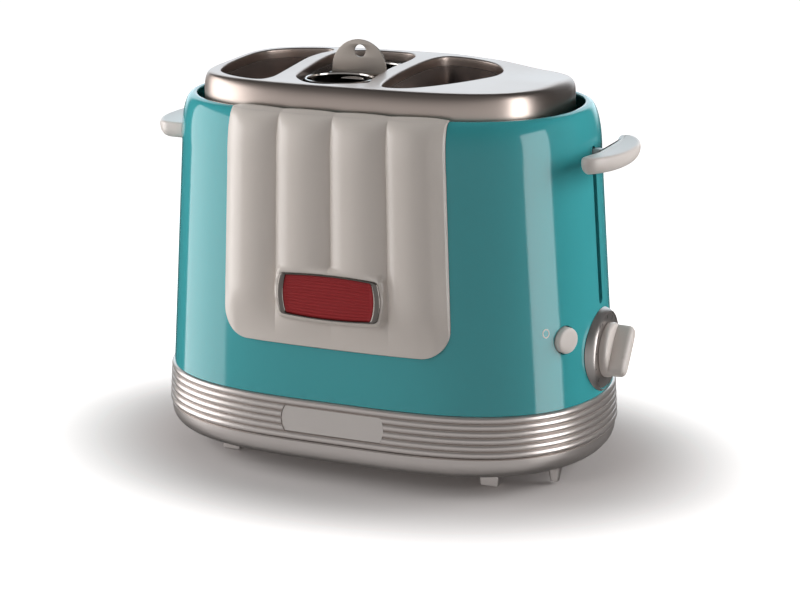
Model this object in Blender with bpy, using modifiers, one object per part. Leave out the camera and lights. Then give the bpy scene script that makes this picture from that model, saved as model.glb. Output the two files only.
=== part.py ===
"""A hot dog maker: a table-top toaster with a bun bay on each side of a lift-out sausage basket.

Metres, +Z up. +X is the end with the lever and the timer knob, -Y is the fluted front.
Heights are measured from the table, and lengths from the middle of the base.
"""

import math

import bmesh
import bpy
from mathutils import Matrix, Vector

# Fits and cuts
GAP = 0.0003
OVERRUN = 0.006
SHEET = 0.0008

# Outline of base and body, seen from above
BODY_END_POWER = 3.4
BODY_SIDE_POWER = 2.1
RING_POINTS = 56

# Feet and pan
FOOT_HEIGHT = 0.0075
FOOT_LENGTH = 0.0125
FOOT_WIDTH = 0.0105
FOOT_TAPER = 0.0008
FOOT_INSET_X = 0.0529
FOOT_INSET_Y = 0.0361
POST_INSET_X = 0.0201
POST_INSET_Y = 0.0536
POST_TOP_RADIUS = 0.0047
POST_BOTTOM_RADIUS = 0.0029
POST_CLEAR = 0.0004
POST_FOOT_Z = 0.0016
PAN_HEIGHT = 0.0168
PAN_STEP = 0.0013
PAN_STEP_X = 0.0001
PAN_TURN_IN = 0.0186
PAN_WALL = 0.002
PAN_CURVE_POWER = 2.7
BOSS_RADIUS = 0.005
LEFT_BOSS_INSET = 0.0305
LEFT_BOSS_Y = 0.036
RIGHT_BOSS_INSET = 0.0585
RIGHT_BOSS_Y = 0.05

# Ribbed band
BAND_HEIGHT = 0.0239
BAND_LENGTH = 0.1365
BAND_WIDTH = 0.0858
BAND_FLARE = 0.0014
BAND_WALL = 0.0043
ROLL_COUNT = 6
ROLL_DEPTH = 0.0012
NAMEPLATE_LENGTH = 0.064
NAMEPLATE_HEIGHT = 0.0146
NAMEPLATE_DEPTH = 0.0022
NAMEPLATE_THICKNESS = 0.0017

# Body shell
SHELL_WALL = 0.0025
SHELL_STEP_X = 0.0016
SHELL_STEP_Y = 0.0014
SHELL_LEAN_X = 0.0099
SHELL_LEAN_Y = 0.0019
SHELL_SHOULDER_Z = 0.184
SHOULDER_TURN_X = 0.0067
SHOULDER_TURN_Y = 0.0083
SHELL_RIM_Z = 0.212
SHOULDER_STEPS = 4

# Fluted front panel
PANEL_HALF_TOP = 0.0646
PANEL_HALF_FOOT = 0.07
PANEL_FOOT_Z = 0.0806
PANEL_CORNER = 0.017
PANEL_THICKNESS = 0.0015
PANEL_EDGE = 0.0012
FLUTE_COUNT = 4
FLUTE_COLUMNS = 5
FLUTE_DEPTH = 0.0047
FLUTE_START_Z = 0.088
FLUTE_FULL_Z = 0.104
FLUTE_TOP_FADE = 0.012
BADGE_Z = 0.1105
BADGE_LENGTH = 0.0634
BADGE_HEIGHT = 0.0254
BADGE_RIM = 0.0017
BADGE_THICKNESS = 0.0016
BADGE_PLATE_THICKNESS = 0.0011
PEDESTAL_MARGIN = 0.0015
PEDESTAL_FADE = 0.006

# Steel top cover
COVER_TOP_Z = 0.2262
COVER_INSET_X = 0.0103
COVER_INSET_Y = 0.0079
COVER_SHOULDER = 0.0048
COVER_SKIRT_FLARE = 0.0006
COVER_SKIRT_HEIGHT = 0.0222
COVER_END_POWER = 3.4
COVER_SIDE_POWER = 2.8
FLANGE_DEPTH = 0.005
OPENING_HALF_Y = 0.0565
LEFT_OUTER_X = -0.0975
LEFT_INNER_X = -0.059
BASKET_LEFT_X = -0.0485
BASKET_RIGHT_X = 0.0003
RIGHT_INNER_X = 0.0098
RIGHT_OUTER_X = 0.0622
BAY_FLAT_DEPTH = 0.005
BAY_FLAT_POWER = 5
BAY_ROUND_POWER = 2
BAY_POINTS = 40
BASKET_POWER = 3.2

# Sleeves under the openings
SLEEVE_STEP = 0.0015
SLEEVE_DROP = 0.0017
WINDOW_WIDTH = 0.009
WINDOW_PITCH = 0.02
WINDOW_TOP_MARGIN = 0.03
WINDOW_FOOT_MARGIN = 0.03
WINDOW_COUNT = 3

# Chassis
CHASSIS_FLOOR_Z = 0.046
CHASSIS_SHEET = 0.0012
CHASSIS_MARGIN = 0.006
FLOOR_WINDOW_INSET = 0.003
LEFT_PLATE_GAP = 0.0026
RIGHT_PLATE_GAP = 0.0048
LEFT_PLATE_WIDTH = 0.078
RIGHT_PLATE_WIDTH = 0.112
PLATE_SHOULDER_Z = 0.196
PLATE_EAR_WIDTH = 0.04
SHIELD_INSET = 0.0048
SHIELD_LEFT_X = -0.068
SHIELD_RIGHT_X = 0.06
SHIELD_TOP_Z = 0.198
CARD_THICKNESS = 0.0008
CARD_WIDTH = 0.08
CARD_HEIGHT = 0.15
CARD_STANDOFF = 0.0011
WIRE_RADIUS = 0.00025
WIRE_RUNS = 8
WIRE_MARGIN = 0.008
WIRE_FOOT_RISE = 0.028

# Carriage
TRAVEL = 0.081
FRAME_Z = 0.146
FRAME_HEIGHT = 0.006
FRAME_BAR = 0.003
FRAME_CLEAR = 0.0039
FRAME_REACH = 0.0233
FRAME_TAIL = 0.0155
REST_THICKNESS = 0.002
REST_INSET = 0.005
TONGUE_WIDTH = 0.008
TONGUE_CLEAR = 0.001
LEFT_TONGUE_INSET = 0.0215
RIGHT_TONGUE_INSET = 0.0282
ROD_INSET = 0.009
ROD_RADIUS = 0.003
HUB_RADIUS = 0.006
HUB_FIT = 0.0003
SADDLE_REACH = 0.007
SADDLE_HALF_Y = 0.02
SADDLE_THICKNESS = 0.004
BRACKET_DROP = 0.021
BRACKET_REACH = 0.0065
BRACKET_HALF_Y = 0.018
BRACKET_LEG = 0.018
SPRING_Y = 0.0135
SPRING_RADIUS = 0.0031
SPRING_WIRE = 0.00045
SPRING_TURNS = 10
SPRING_TURN_POINTS = 8
MAGNET_Y = -0.0115
MAGNET_CORE_RADIUS = 0.0035
MAGNET_COIL_RADIUS = 0.0075
MAGNET_POLE = 0.0015
ARMATURE_THICKNESS = 0.0015
ARMATURE_RADIUS = 0.007

# Lever handle and side grip
LEVER_Z = 0.187
STEM_HEIGHT = 0.008
STEM_THICKNESS = 0.0046
SLOT_WIDTH = 0.006
SLOT_CLEAR = 0.0004
HANDLE_INSET = 0.0029
HANDLE_REACH = 0.0161
HANDLE_HALF_Y = 0.0375
HANDLE_HEIGHT = 0.0105
HANDLE_ROUND = 0.0042
HANDLE_FLAT_DEPTH = 0.0005
HANDLE_POINTS = 28
HANDLE_POWER = 2.2
STEM_BITE = 0.0075
GRIP_STANDOUT = 0.0182

# Timer and bezel
KNOB_Z = 0.0732
BEZEL_RADIUS = 0.0243
BEZEL_LIP_RADIUS = 0.0219
BEZEL_STANDOUT = 0.0022
BEZEL_ROOT = 0.008
BEZEL_LIP = 0.0012
DIAL_RECESS = 0.0008
KNOB_RADIUS = 0.016
KNOB_LENGTH = 0.0157
KNOB_STANDOFF = 0.0004
KNOB_BAR = 0.012
KNOB_SCOOP_RADIUS = 0.014
KNOB_ROUND = 0.0024
SHAFT_RADIUS = 0.003
SHAFT_BITE = 0.0095
SHAFT_FIT = 0.0003
SHAFT_HOLE_CLEAR = 0.001
TIMER_RADIUS = 0.012
TIMER_WALL_CLEAR = 0.0012
BOARD_SETBACK = 0.0238
BOARD_THICKNESS = 0.0016
BOARD_HALF_Y = 0.042
BOARD_TOP_Z = 0.098
ROUND_SIDES = 32

# Stop button
BUTTON_Y = -0.0398
BUTTON_Z = 0.088
BUTTON_RADIUS = 0.0075
BUTTON_CLEAR = 0.0005
BUTTON_PROUD = 0.0029
BUTTON_DEPTH = 0.006
BUTTON_ROUND = 0.0012
BUTTON_TRAVEL = 0.003
SWITCH_RADIUS = 0.004
SWITCH_LENGTH = 0.008

# Sausage basket
BASKET_X = -0.0222
RING_Y = 0.0225
RING_RADIUS = 0.02
RING_DROP = 0.002
RING_HEIGHT = 0.01
EAR_WIDTH = 0.008
EAR_THICKNESS = 0.0012
EAR_REACH = 0.0007
BRIDGE_HALF_X = 0.017
BRIDGE_HALF_Y = 0.014
TAB_RADIUS = 0.0175
TAB_RISE = 0.0171
TAB_HOLE_RADIUS = 0.004
TAB_HOLE_DROP = 0.0065
TAB_THICKNESS = 0.0012
CAGE_RADIUS = 0.0196
CAGE_FOOT_Z = 0.076
CAGE_SLOT = 0.008
CAGE_SLOT_MARGIN = 0.012
CAGE_SIDES = 24
DRAIN_RADIUS = 0.006

# Crumb tray
TRAY_LEFT_X = -0.084
TRAY_RIGHT_X = 0.036
TRAY_FRONT_INSET = 0.0278
TRAY_Z = 0.0295
TRAY_HEIGHT = 0.0075
TRAY_WALL = 0.001
TRAY_BACK_INSET = 0.0148
TRAY_DOOR_Z = 0.0286
TRAY_DOOR_HEIGHT = 0.0158
TRAY_DOOR_MARGIN = 0.001
RUNNER_INSET = 0.002
RUNNER_THICKNESS = 0.002
RUNNER_BACK_INSET = 0.0198

# Cord inlet
GLAND_INSET = 0.0386
GLAND_Y = 0.034
GLAND_BORE = 0.0036
GLAND_BARREL = 0.006
GLAND_FLANGE = 0.0085
GLAND_FLANGE_THICKNESS = 0.0013
GLAND_FIT = 0.0003

# Heights and lines that follow from the sizes above
BAND_FOOT_Z = FOOT_HEIGHT + PAN_HEIGHT + GAP
BAND_TOP_Z = BAND_FOOT_Z + BAND_HEIGHT
SHELL_FOOT_Z = BAND_TOP_Z + GAP
CHASSIS_TOP_Z = CHASSIS_FLOOR_Z + CHASSIS_SHEET
SEAT_Z = CHASSIS_TOP_Z + GAP
PAN_LENGTH = BAND_LENGTH + PAN_STEP_X
PAN_WIDTH = BAND_WIDTH + PAN_STEP
FOOT_X = PAN_LENGTH - FOOT_INSET_X
FOOT_Y = PAN_WIDTH - FOOT_INSET_Y
POST_X = PAN_LENGTH - POST_INSET_X
POST_Y = PAN_WIDTH - POST_INSET_Y
LEFT_BOSS_X = LEFT_BOSS_INSET - BAND_LENGTH
RIGHT_BOSS_X = BAND_LENGTH - RIGHT_BOSS_INSET
GLAND_X = PAN_LENGTH - GLAND_INSET
TRAY_FRONT_Y = TRAY_FRONT_INSET - BAND_WIDTH
TRAY_BACK_Y = BAND_WIDTH - TRAY_BACK_INSET
RUNNER_BACK_Y = BAND_WIDTH - RUNNER_BACK_INSET
SHELL_FOOT_LENGTH = BAND_LENGTH - SHELL_STEP_X
SHELL_FOOT_WIDTH = BAND_WIDTH - SHELL_STEP_Y
SHELL_SHOULDER_LENGTH = SHELL_FOOT_LENGTH - SHELL_LEAN_X
SHELL_SHOULDER_WIDTH = SHELL_FOOT_WIDTH - SHELL_LEAN_Y
SHELL_RIM_LENGTH = SHELL_SHOULDER_LENGTH - SHOULDER_TURN_X
SHELL_RIM_WIDTH = SHELL_SHOULDER_WIDTH - SHOULDER_TURN_Y
COVER_WALL_LENGTH = SHELL_RIM_LENGTH - COVER_INSET_X
COVER_WALL_WIDTH = SHELL_RIM_WIDTH - COVER_INSET_Y
SHIELD_Y = SHELL_RIM_WIDTH - SHIELD_INSET
FRAME_HALF_Y = SHIELD_Y - FRAME_CLEAR
FRAME_RIGHT_X = RIGHT_OUTER_X + FRAME_REACH
FRAME_LEFT_X = LEFT_OUTER_X + FRAME_TAIL
LEFT_TONGUE_X = LEFT_OUTER_X + LEFT_TONGUE_INSET
RIGHT_TONGUE_X = RIGHT_OUTER_X - RIGHT_TONGUE_INSET
ROD_X = COVER_WALL_LENGTH - ROD_INSET
SADDLE_RIGHT_X = ROD_X + SADDLE_REACH
BRACKET_RIGHT_X = ROD_X + BRACKET_REACH
BRACKET_Z = COVER_TOP_Z - BRACKET_DROP
HANDLE_INNER_X = SHELL_FOOT_LENGTH - HANDLE_INSET
GRIP_REACH_X = SHELL_SHOULDER_LENGTH + GRIP_STANDOUT
KNOB_WALL_X = SHELL_FOOT_LENGTH - SHELL_LEAN_X * (KNOB_Z - SHELL_FOOT_Z) / (SHELL_SHOULDER_Z - SHELL_FOOT_Z)
BEZEL_FRONT_X = KNOB_WALL_X + BEZEL_STANDOUT
BEZEL_BACK_X = KNOB_WALL_X - BEZEL_ROOT
BOARD_X = KNOB_WALL_X - BOARD_SETBACK
COVER_WALL_Z = COVER_TOP_Z - COVER_SHOULDER
SLEEVE_TOP_Z = COVER_TOP_Z - FLANGE_DEPTH - SLEEVE_DROP
COVER_UNDER_Z = COVER_TOP_Z - SHEET
BASKET_MID_X = (BASKET_LEFT_X + BASKET_RIGHT_X) / 2
BASKET_HALF_X = (BASKET_RIGHT_X - BASKET_LEFT_X) / 2
DIAL_X = BEZEL_FRONT_X - DIAL_RECESS
KNOB_BACK_X = DIAL_X + KNOB_STANDOFF
KNOB_REACH_X = KNOB_BACK_X + KNOB_LENGTH
RING_TOP_Z = COVER_TOP_Z - RING_DROP


def make_collection(name):
    collection = bpy.data.collections.new(name)
    bpy.context.scene.collection.children.link(collection)
    return collection


def finish(name, colour, roughness, metallic):
    material = bpy.data.materials.new(name)
    material.use_nodes = True
    shader = material.node_tree.nodes["Principled BSDF"]
    shader.inputs["Base Color"].default_value = (*colour, 1)
    shader.inputs["Roughness"].default_value = roughness
    shader.inputs["Metallic"].default_value = metallic
    material.diffuse_color = (*colour, 1)
    return material


for old in list(bpy.data.objects):
    bpy.data.objects.remove(old)
parts = make_collection("hot_dog_maker")
cutters = make_collection("cutters")

TEAL = ("teal_plastic", (0.07, 0.33, 0.35), 0.2, 0)
CREAM = ("cream_plastic", (0.78, 0.73, 0.67), 0.3, 0)
SILVER = ("silver_plastic", (0.5, 0.49, 0.48), 0.35, 0.7)
STEEL = ("brushed_steel", (0.6, 0.58, 0.56), 0.3, 1)
POLISHED = ("polished_steel", (0.65, 0.64, 0.62), 0.12, 1)
RED = ("red_enamel", (0.5, 0.03, 0.03), 0.25, 0)
CHROME = ("chrome_trim", (0.7, 0.7, 0.7), 0.08, 1)
MICA = ("mica_board", (0.55, 0.47, 0.36), 0.6, 0)
NICHROME = ("heating_wire", (0.35, 0.32, 0.3), 0.5, 1)
BOARD = ("circuit_board", (0.05, 0.2, 0.08), 0.5, 0)
DARK = ("dark_plastic", (0.03, 0.03, 0.03), 0.5, 0)
COPPER = ("copper_wire", (0.6, 0.28, 0.12), 0.35, 1)
RUBBER = ("rubber", (0.05, 0.05, 0.05), 0.8, 0)

root = bpy.data.objects.new("hot_dog_maker_frame", None)
parts.objects.link(root)


def carrier(name, place):
    """An empty on a joint's axis, which the joint's pieces hang from."""
    empty = bpy.data.objects.new(name, None)
    empty.location = place
    empty.parent = root
    parts.objects.link(empty)
    return empty


def add_piece(name, mesh, look=None, parent=None):
    """A piece with its own material, or a cutter where no look is given."""
    piece = bpy.data.objects.new(name, mesh)
    if look is None:
        cutters.objects.link(piece)
        piece.parent = root
        piece.hide_render = True
        piece.display_type = "WIRE"
        return piece
    parts.objects.link(piece)
    hang(piece, parent)
    mesh.materials.append(finish(f"{name}_{look[0]}", *look[1:]))
    if isinstance(mesh, bpy.types.Mesh):
        mesh.shade_smooth()
        mesh.set_sharp_from_angle(angle=math.radians(32))
    return piece


def hang(piece, parent):
    piece.parent = parent or root
    if parent is not None:
        piece.location = piece.location - parent.location


def mesh_from(name, shape):
    bmesh.ops.recalc_face_normals(shape, faces=shape.faces)
    mesh = bpy.data.meshes.new(name)
    shape.to_mesh(mesh)
    shape.free()
    return mesh


def loft(name, rings, hollow=False):
    """A body through rings of as many points each, closed by end faces, or back on itself where hollow."""
    shape = bmesh.new()
    rows = [[shape.verts.new(point) for point in ring] for ring in rings]
    pairs = list(zip(rows, rows[1:]))
    if hollow:
        pairs.append((rows[-1], rows[0]))
    else:
        shape.faces.new(rows[0])
        shape.faces.new(rows[-1])
    for low, high in pairs:
        count = len(low)
        for i in range(count):
            j = (i + 1) % count
            shape.faces.new((low[i], low[j], high[j], high[i]))
    return mesh_from(name, shape)


def block(name, low, high):
    shape = bmesh.new()
    bmesh.ops.create_cube(shape, size=1)
    size = [b - a for a, b in zip(low, high)]
    middle = [(a + b) / 2 for a, b in zip(low, high)]
    bmesh.ops.scale(shape, vec=size, verts=shape.verts)
    bmesh.ops.translate(shape, vec=middle, verts=shape.verts)
    return mesh_from(name, shape)


def bar(name, start, end, radius, far_radius=None, sides=ROUND_SIDES):
    """A round bar or cone between two points."""
    start = Vector(start)
    end = Vector(end)
    axis = end - start
    shape = bmesh.new()
    bmesh.ops.create_cone(
        shape, cap_ends=True, segments=sides, radius1=radius,
        radius2=radius if far_radius is None else far_radius, depth=axis.length,
    )
    turn = axis.to_track_quat("Z", "Y").to_matrix().to_4x4()
    bmesh.ops.transform(shape, matrix=Matrix.Translation((start + end) / 2) @ turn, verts=shape.verts)
    return mesh_from(name, shape)


def turned(name, profile, look, parent=None, place=(0, 0, 0), along_x=False, steps=ROUND_SIDES):
    """A profile of radius and height, closed, run down its outer side and turned about +Z or +X."""
    shape = bmesh.new()
    points = [shape.verts.new((radius, 0, height)) for radius, height in profile]
    for first, second in zip(points, points[1:] + points[:1]):
        shape.edges.new((first, second))
    mesh = bpy.data.meshes.new(name)
    shape.to_mesh(mesh)
    shape.free()
    piece = add_piece(name, mesh, look, None)
    piece.location = place
    if along_x:
        piece.rotation_euler = (0, math.radians(90), 0)
    hang(piece, parent)
    screw = piece.modifiers.new("Screw", "SCREW")
    screw.steps = screw.render_steps = steps
    screw.use_merge_vertices = True
    screw.merge_threshold = 0.00001
    screw.use_smooth_shade = True
    return piece


def plate(name, outlines, low, high):
    """A flat sheet between two heights, with its first outline filled and the others left open."""
    curve = bpy.data.curves.new(name, "CURVE")
    curve.dimensions = "2D"
    curve.fill_mode = "BOTH"
    curve.extrude = (high - low) / 2
    for outline in outlines:
        spline = curve.splines.new("POLY")
        spline.points.add(len(outline) - 1)
        for point, (x, y) in zip(spline.points, outline):
            point.co = (x, y, 0, 1)
        spline.use_cyclic_u = True
    flat = bpy.data.objects.new(name, curve)
    cutters.objects.link(flat)
    bpy.context.view_layer.update()
    mesh = bpy.data.meshes.new_from_object(flat.evaluated_get(bpy.context.evaluated_depsgraph_get()))
    bpy.data.objects.remove(flat)
    shape = bmesh.new()
    shape.from_mesh(mesh)
    bmesh.ops.remove_doubles(shape, verts=shape.verts, dist=0.00001)
    bmesh.ops.translate(shape, vec=(0, 0, (low + high) / 2), verts=shape.verts)
    bpy.data.meshes.remove(mesh)
    return mesh_from(name, shape)


def stand_up(mesh, turn):
    """A mesh drawn flat, turned to the plane where it stands."""
    mesh.transform(turn)
    return mesh


def shape_with(piece, other, how):
    change = piece.modifiers.new(how.title(), "BOOLEAN")
    change.operation = how
    change.solver = "EXACT"
    change.object = other
    return piece


def cut(piece, *meshes):
    for mesh in meshes:
        shape_with(piece, add_piece(f"{mesh.name}_cutter", mesh), "DIFFERENCE")
    return piece


def join(piece, *meshes):
    for mesh in meshes:
        shape_with(piece, add_piece(f"{mesh.name}_joined", mesh), "UNION")
    return piece


def soften(piece, width, segments, angle=40):
    bevel = piece.modifiers.new("Bevel", "BEVEL")
    bevel.width = width
    bevel.segments = segments
    bevel.limit_method = "ANGLE"
    bevel.angle_limit = math.radians(angle)
    bevel.use_clamp_overlap = True
    return piece


def signed_power(value, power):
    return math.copysign(abs(value) ** power, value)


def superellipse(half_x, half_y, end_power, side_power, count=RING_POINTS):
    points = []
    for i in range(count):
        angle = math.tau * i / count
        x = half_x * signed_power(math.cos(angle), 2 / end_power)
        y = half_y * signed_power(math.sin(angle), 2 / side_power)
        points.append((x, y))
    return points


def body_ring(half_x, half_y, height):
    flat = superellipse(half_x, half_y, BODY_END_POWER, BODY_SIDE_POWER)
    return [(x, y, height) for x, y in flat]


def cover_ring(half_x, half_y, height):
    flat = superellipse(half_x, half_y, COVER_END_POWER, COVER_SIDE_POWER)
    return [(x, y, height) for x, y in flat]


def body_line(across, half_x, half_y):
    """How far the body's side stands from the middle, at a place along its length."""
    return half_y * (1 - abs(across / half_x) ** BODY_END_POWER) ** (1 / BODY_SIDE_POWER)


def end_line(across, half_x, half_y):
    """How far the body's end stands from the middle, at a place across its width."""
    return half_x * (1 - abs(across / half_y) ** BODY_SIDE_POWER) ** (1 / BODY_END_POWER)


def shell_halves(height):
    """Half length and half width of the shell's outside at a height up to its shoulder."""
    share = (height - SHELL_FOOT_Z) / (SHELL_SHOULDER_Z - SHELL_FOOT_Z)
    half_x = SHELL_FOOT_LENGTH + share * (SHELL_SHOULDER_LENGTH - SHELL_FOOT_LENGTH)
    half_y = SHELL_FOOT_WIDTH + share * (SHELL_SHOULDER_WIDTH - SHELL_FOOT_WIDTH)
    return half_x, half_y


def shoulder_rows():
    """Half length, half width and height where the shell turns in to its rim."""
    rows = []
    for step in range(SHOULDER_STEPS + 1):
        angle = math.pi / 2 * step / SHOULDER_STEPS
        out = math.cos(angle)
        up = math.sin(angle)
        rows.append((
            SHELL_RIM_LENGTH + out * (SHELL_SHOULDER_LENGTH - SHELL_RIM_LENGTH),
            SHELL_RIM_WIDTH + out * (SHELL_SHOULDER_WIDTH - SHELL_RIM_WIDTH),
            SHELL_SHOULDER_Z + up * (SHELL_RIM_Z - SHELL_SHOULDER_Z),
        ))
    return rows


def shell_mass(name, offset=0.0):
    """The shell's outside as a solid, grown by an offset, for cutting what seats on it."""
    low = SHELL_FOOT_Z - OVERRUN
    rows = [(*shell_halves(low), low), *shoulder_rows()]
    rings = [body_ring(x + offset, y + offset, z) for x, y, z in rows]
    return loft(name, rings)


def pan_rows(offset=0.0):
    """Half length, half width and height of the pan's outside, from its flat underside up."""
    rows = []
    steps = 4
    for step in range(steps + 1):
        angle = math.pi / 2 * (1 - step / steps)
        out = math.cos(angle) ** (2 / PAN_CURVE_POWER) if step else 0
        down = math.sin(angle) ** (2 / PAN_CURVE_POWER) if step < steps else 0
        rows.append((
            PAN_LENGTH - PAN_TURN_IN * (1 - out) + offset,
            PAN_WIDTH - PAN_TURN_IN * (1 - out) + offset,
            FOOT_HEIGHT + PAN_HEIGHT * (1 - down) - (offset if step == 0 else 0),
        ))
    return rows


def make_pan():
    outside = [body_ring(*row) for row in pan_rows()]
    pan = add_piece("base_pan", loft("base_pan", outside), SILVER)
    inside = [body_ring(x - PAN_WALL, y - PAN_WALL, z + (PAN_WALL if i == 0 else 0))
              for i, (x, y, z) in enumerate(pan_rows()) if i != 1]
    top = pan_rows()[-1]
    inside.append(body_ring(top[0] - PAN_WALL, top[1] - PAN_WALL, top[2] + OVERRUN))
    cut(pan, loft("pan_inside", inside))
    floor = FOOT_HEIGHT + PAN_WALL
    sink = PAN_WALL / 2
    bosses = [(x, side * y) for x, y in ((LEFT_BOSS_X, LEFT_BOSS_Y), (RIGHT_BOSS_X, RIGHT_BOSS_Y)) for side in (-1, 1)]
    for number, (x, y) in enumerate(bosses):
        join(pan, bar(f"boss_{number}", (x, y, floor - sink), (x, y, CHASSIS_FLOOR_Z - GAP), BOSS_RADIUS, sides=12))
    runner_places = (
        TRAY_LEFT_X + RUNNER_INSET,
        TRAY_RIGHT_X - RUNNER_INSET - RUNNER_THICKNESS,
    )
    for number, x in enumerate(runner_places):
        low = (x, TRAY_FRONT_Y, floor - sink)
        high = (x + RUNNER_THICKNESS, RUNNER_BACK_Y, TRAY_Z - GAP)
        join(pan, block(f"runner_{number}", low, high))
    hole_radius = GLAND_BARREL + GLAND_FIT
    cut(pan, bar("gland_hole", (GLAND_X, GLAND_Y, FOOT_HEIGHT - OVERRUN), (GLAND_X, GLAND_Y, floor + OVERRUN), hole_radius, sides=24))


def make_feet():
    top = FOOT_HEIGHT - GAP
    sides = {"front": -1, "rear": 1}
    ends = {"left": -1, "right": 1}
    for side, y_sign in sides.items():
        for end, x_sign in ends.items():
            x = x_sign * FOOT_X
            y = y_sign * FOOT_Y
            rings = []
            for height, shrink in ((0, FOOT_TAPER), (top, 0)):
                across = FOOT_LENGTH / 2 - shrink
                along = FOOT_WIDTH / 2 - shrink
                rings.append([(x - across, y - along, height), (x + across, y - along, height),
                              (x + across, y + along, height), (x - across, y + along, height)])
            name = f"{side}_{end}_foot"
            soften(add_piece(name, loft(name, rings), SILVER), FOOT_TAPER, 2, 60)
            name = f"{side}_{end}_cord_post"
            x = x_sign * POST_X
            y = y_sign * POST_Y
            mesh = bar(name, (x, y, POST_FOOT_Z), (x, y, FOOT_HEIGHT + OVERRUN), POST_BOTTOM_RADIUS,
                       POST_TOP_RADIUS, sides=16)
            post = add_piece(name, mesh, SILVER)
            cut(post, loft(f"pan_over_{name}", [body_ring(*row) for row in pan_rows(POST_CLEAR)]))


def band_rows():
    """Half length, half width and height of the band's rolls, from the lowest groove up."""
    rows = []
    pitch = BAND_HEIGHT / ROLL_COUNT
    profile_shares = ((0, 1), (0.24, 0.1), (0.76, 0.1))
    for roll in range(ROLL_COUNT):
        for up_share, depth_share in profile_shares:
            height = BAND_FOOT_Z + pitch * (roll + up_share)
            flare = BAND_FLARE * (BAND_TOP_Z - height) / BAND_HEIGHT
            sink = ROLL_DEPTH * depth_share
            rows.append((BAND_LENGTH + flare - sink, BAND_WIDTH + flare - sink, height))
    rows.append((BAND_LENGTH - ROLL_DEPTH, BAND_WIDTH - ROLL_DEPTH, BAND_TOP_Z))
    return rows


def band_mesh(name):
    rings = [body_ring(*row) for row in band_rows()]
    for height in (BAND_TOP_Z, BAND_FOOT_Z):
        rings.append(body_ring(BAND_LENGTH - BAND_WALL, BAND_WIDTH - BAND_WALL, height))
    return loft(name, rings, hollow=True)


def tray_door_box(name, shrink):
    low = (
        TRAY_LEFT_X - TRAY_DOOR_MARGIN + shrink,
        BAND_WALL,
        TRAY_DOOR_Z + shrink,
    )
    high = (
        TRAY_RIGHT_X + TRAY_DOOR_MARGIN - shrink,
        BAND_WIDTH + OVERRUN,
        TRAY_DOOR_Z + TRAY_DOOR_HEIGHT - shrink,
    )
    return block(name, low, high)


def make_band():
    band = add_piece("base_band", band_mesh("base_band"), SILVER)
    cut(band, tray_door_box("tray_doorway", 0))
    half = NAMEPLATE_LENGTH / 2
    middle = (BAND_FOOT_Z + BAND_TOP_Z) / 2
    tall = NAMEPLATE_HEIGHT / 2
    depth = BAND_WIDTH - NAMEPLATE_DEPTH
    cut(band, block("nameplate_seat", (-half - GAP, -BAND_WIDTH - OVERRUN, middle - tall - GAP),
                    (half + GAP, -depth, middle + tall + GAP)))
    sag = BAND_WIDTH - body_line(half, BAND_LENGTH, BAND_WIDTH)
    back = -depth - GAP
    front = back - NAMEPLATE_THICKNESS
    rings = []
    for height in (middle - tall, middle + tall):
        rings.append([(-half, back, height), (half, back, height), (half, front + sag, height),
                      (half / 2, front + sag / 8, height), (-half / 2, front + sag / 8, height), (-half, front + sag, height)])
    add_piece("nameplate", loft("nameplate", rings), SILVER)


def make_tray():
    slide = carrier("crumb_tray_slide", (0, BAND_WIDTH, TRAY_Z))
    door = add_piece("tray_front", band_mesh("tray_front"), SILVER, slide)
    shape_with(door, add_piece("tray_front_limit", tray_door_box("tray_front_limit", GAP)), "INTERSECT")
    box = block("crumb_tray", (TRAY_LEFT_X, TRAY_FRONT_Y, TRAY_Z), (TRAY_RIGHT_X, BAND_WIDTH, TRAY_Z + TRAY_HEIGHT))
    tray = add_piece("crumb_tray", box, POLISHED, slide)
    inner = [body_ring(BAND_LENGTH - BAND_WALL - GAP, BAND_WIDTH - BAND_WALL - GAP, z)
             for z in (TRAY_Z - OVERRUN, TRAY_Z + TRAY_HEIGHT + OVERRUN)]
    shape_with(tray, add_piece("tray_limit", loft("tray_limit", inner)), "INTERSECT")
    cut(tray, block("tray_hollow", (TRAY_LEFT_X + TRAY_WALL, TRAY_FRONT_Y + TRAY_WALL, TRAY_Z + TRAY_WALL),
                    (TRAY_RIGHT_X - TRAY_WALL, TRAY_BACK_Y, TRAY_Z + TRAY_HEIGHT + OVERRUN)))


def button_frame():
    """The stop button's place on the shell and its outward direction."""
    half_x, half_y = shell_halves(BUTTON_Z)
    x = end_line(BUTTON_Y, half_x, half_y)
    slope_x = BODY_END_POWER / half_x * (x / half_x) ** (BODY_END_POWER - 1)
    slope_y = BODY_SIDE_POWER / half_y * abs(BUTTON_Y / half_y) ** (BODY_SIDE_POWER - 1)
    outward = Vector((slope_x, -slope_y, 0)).normalized()
    return Vector((x, BUTTON_Y, BUTTON_Z)), outward


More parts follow.
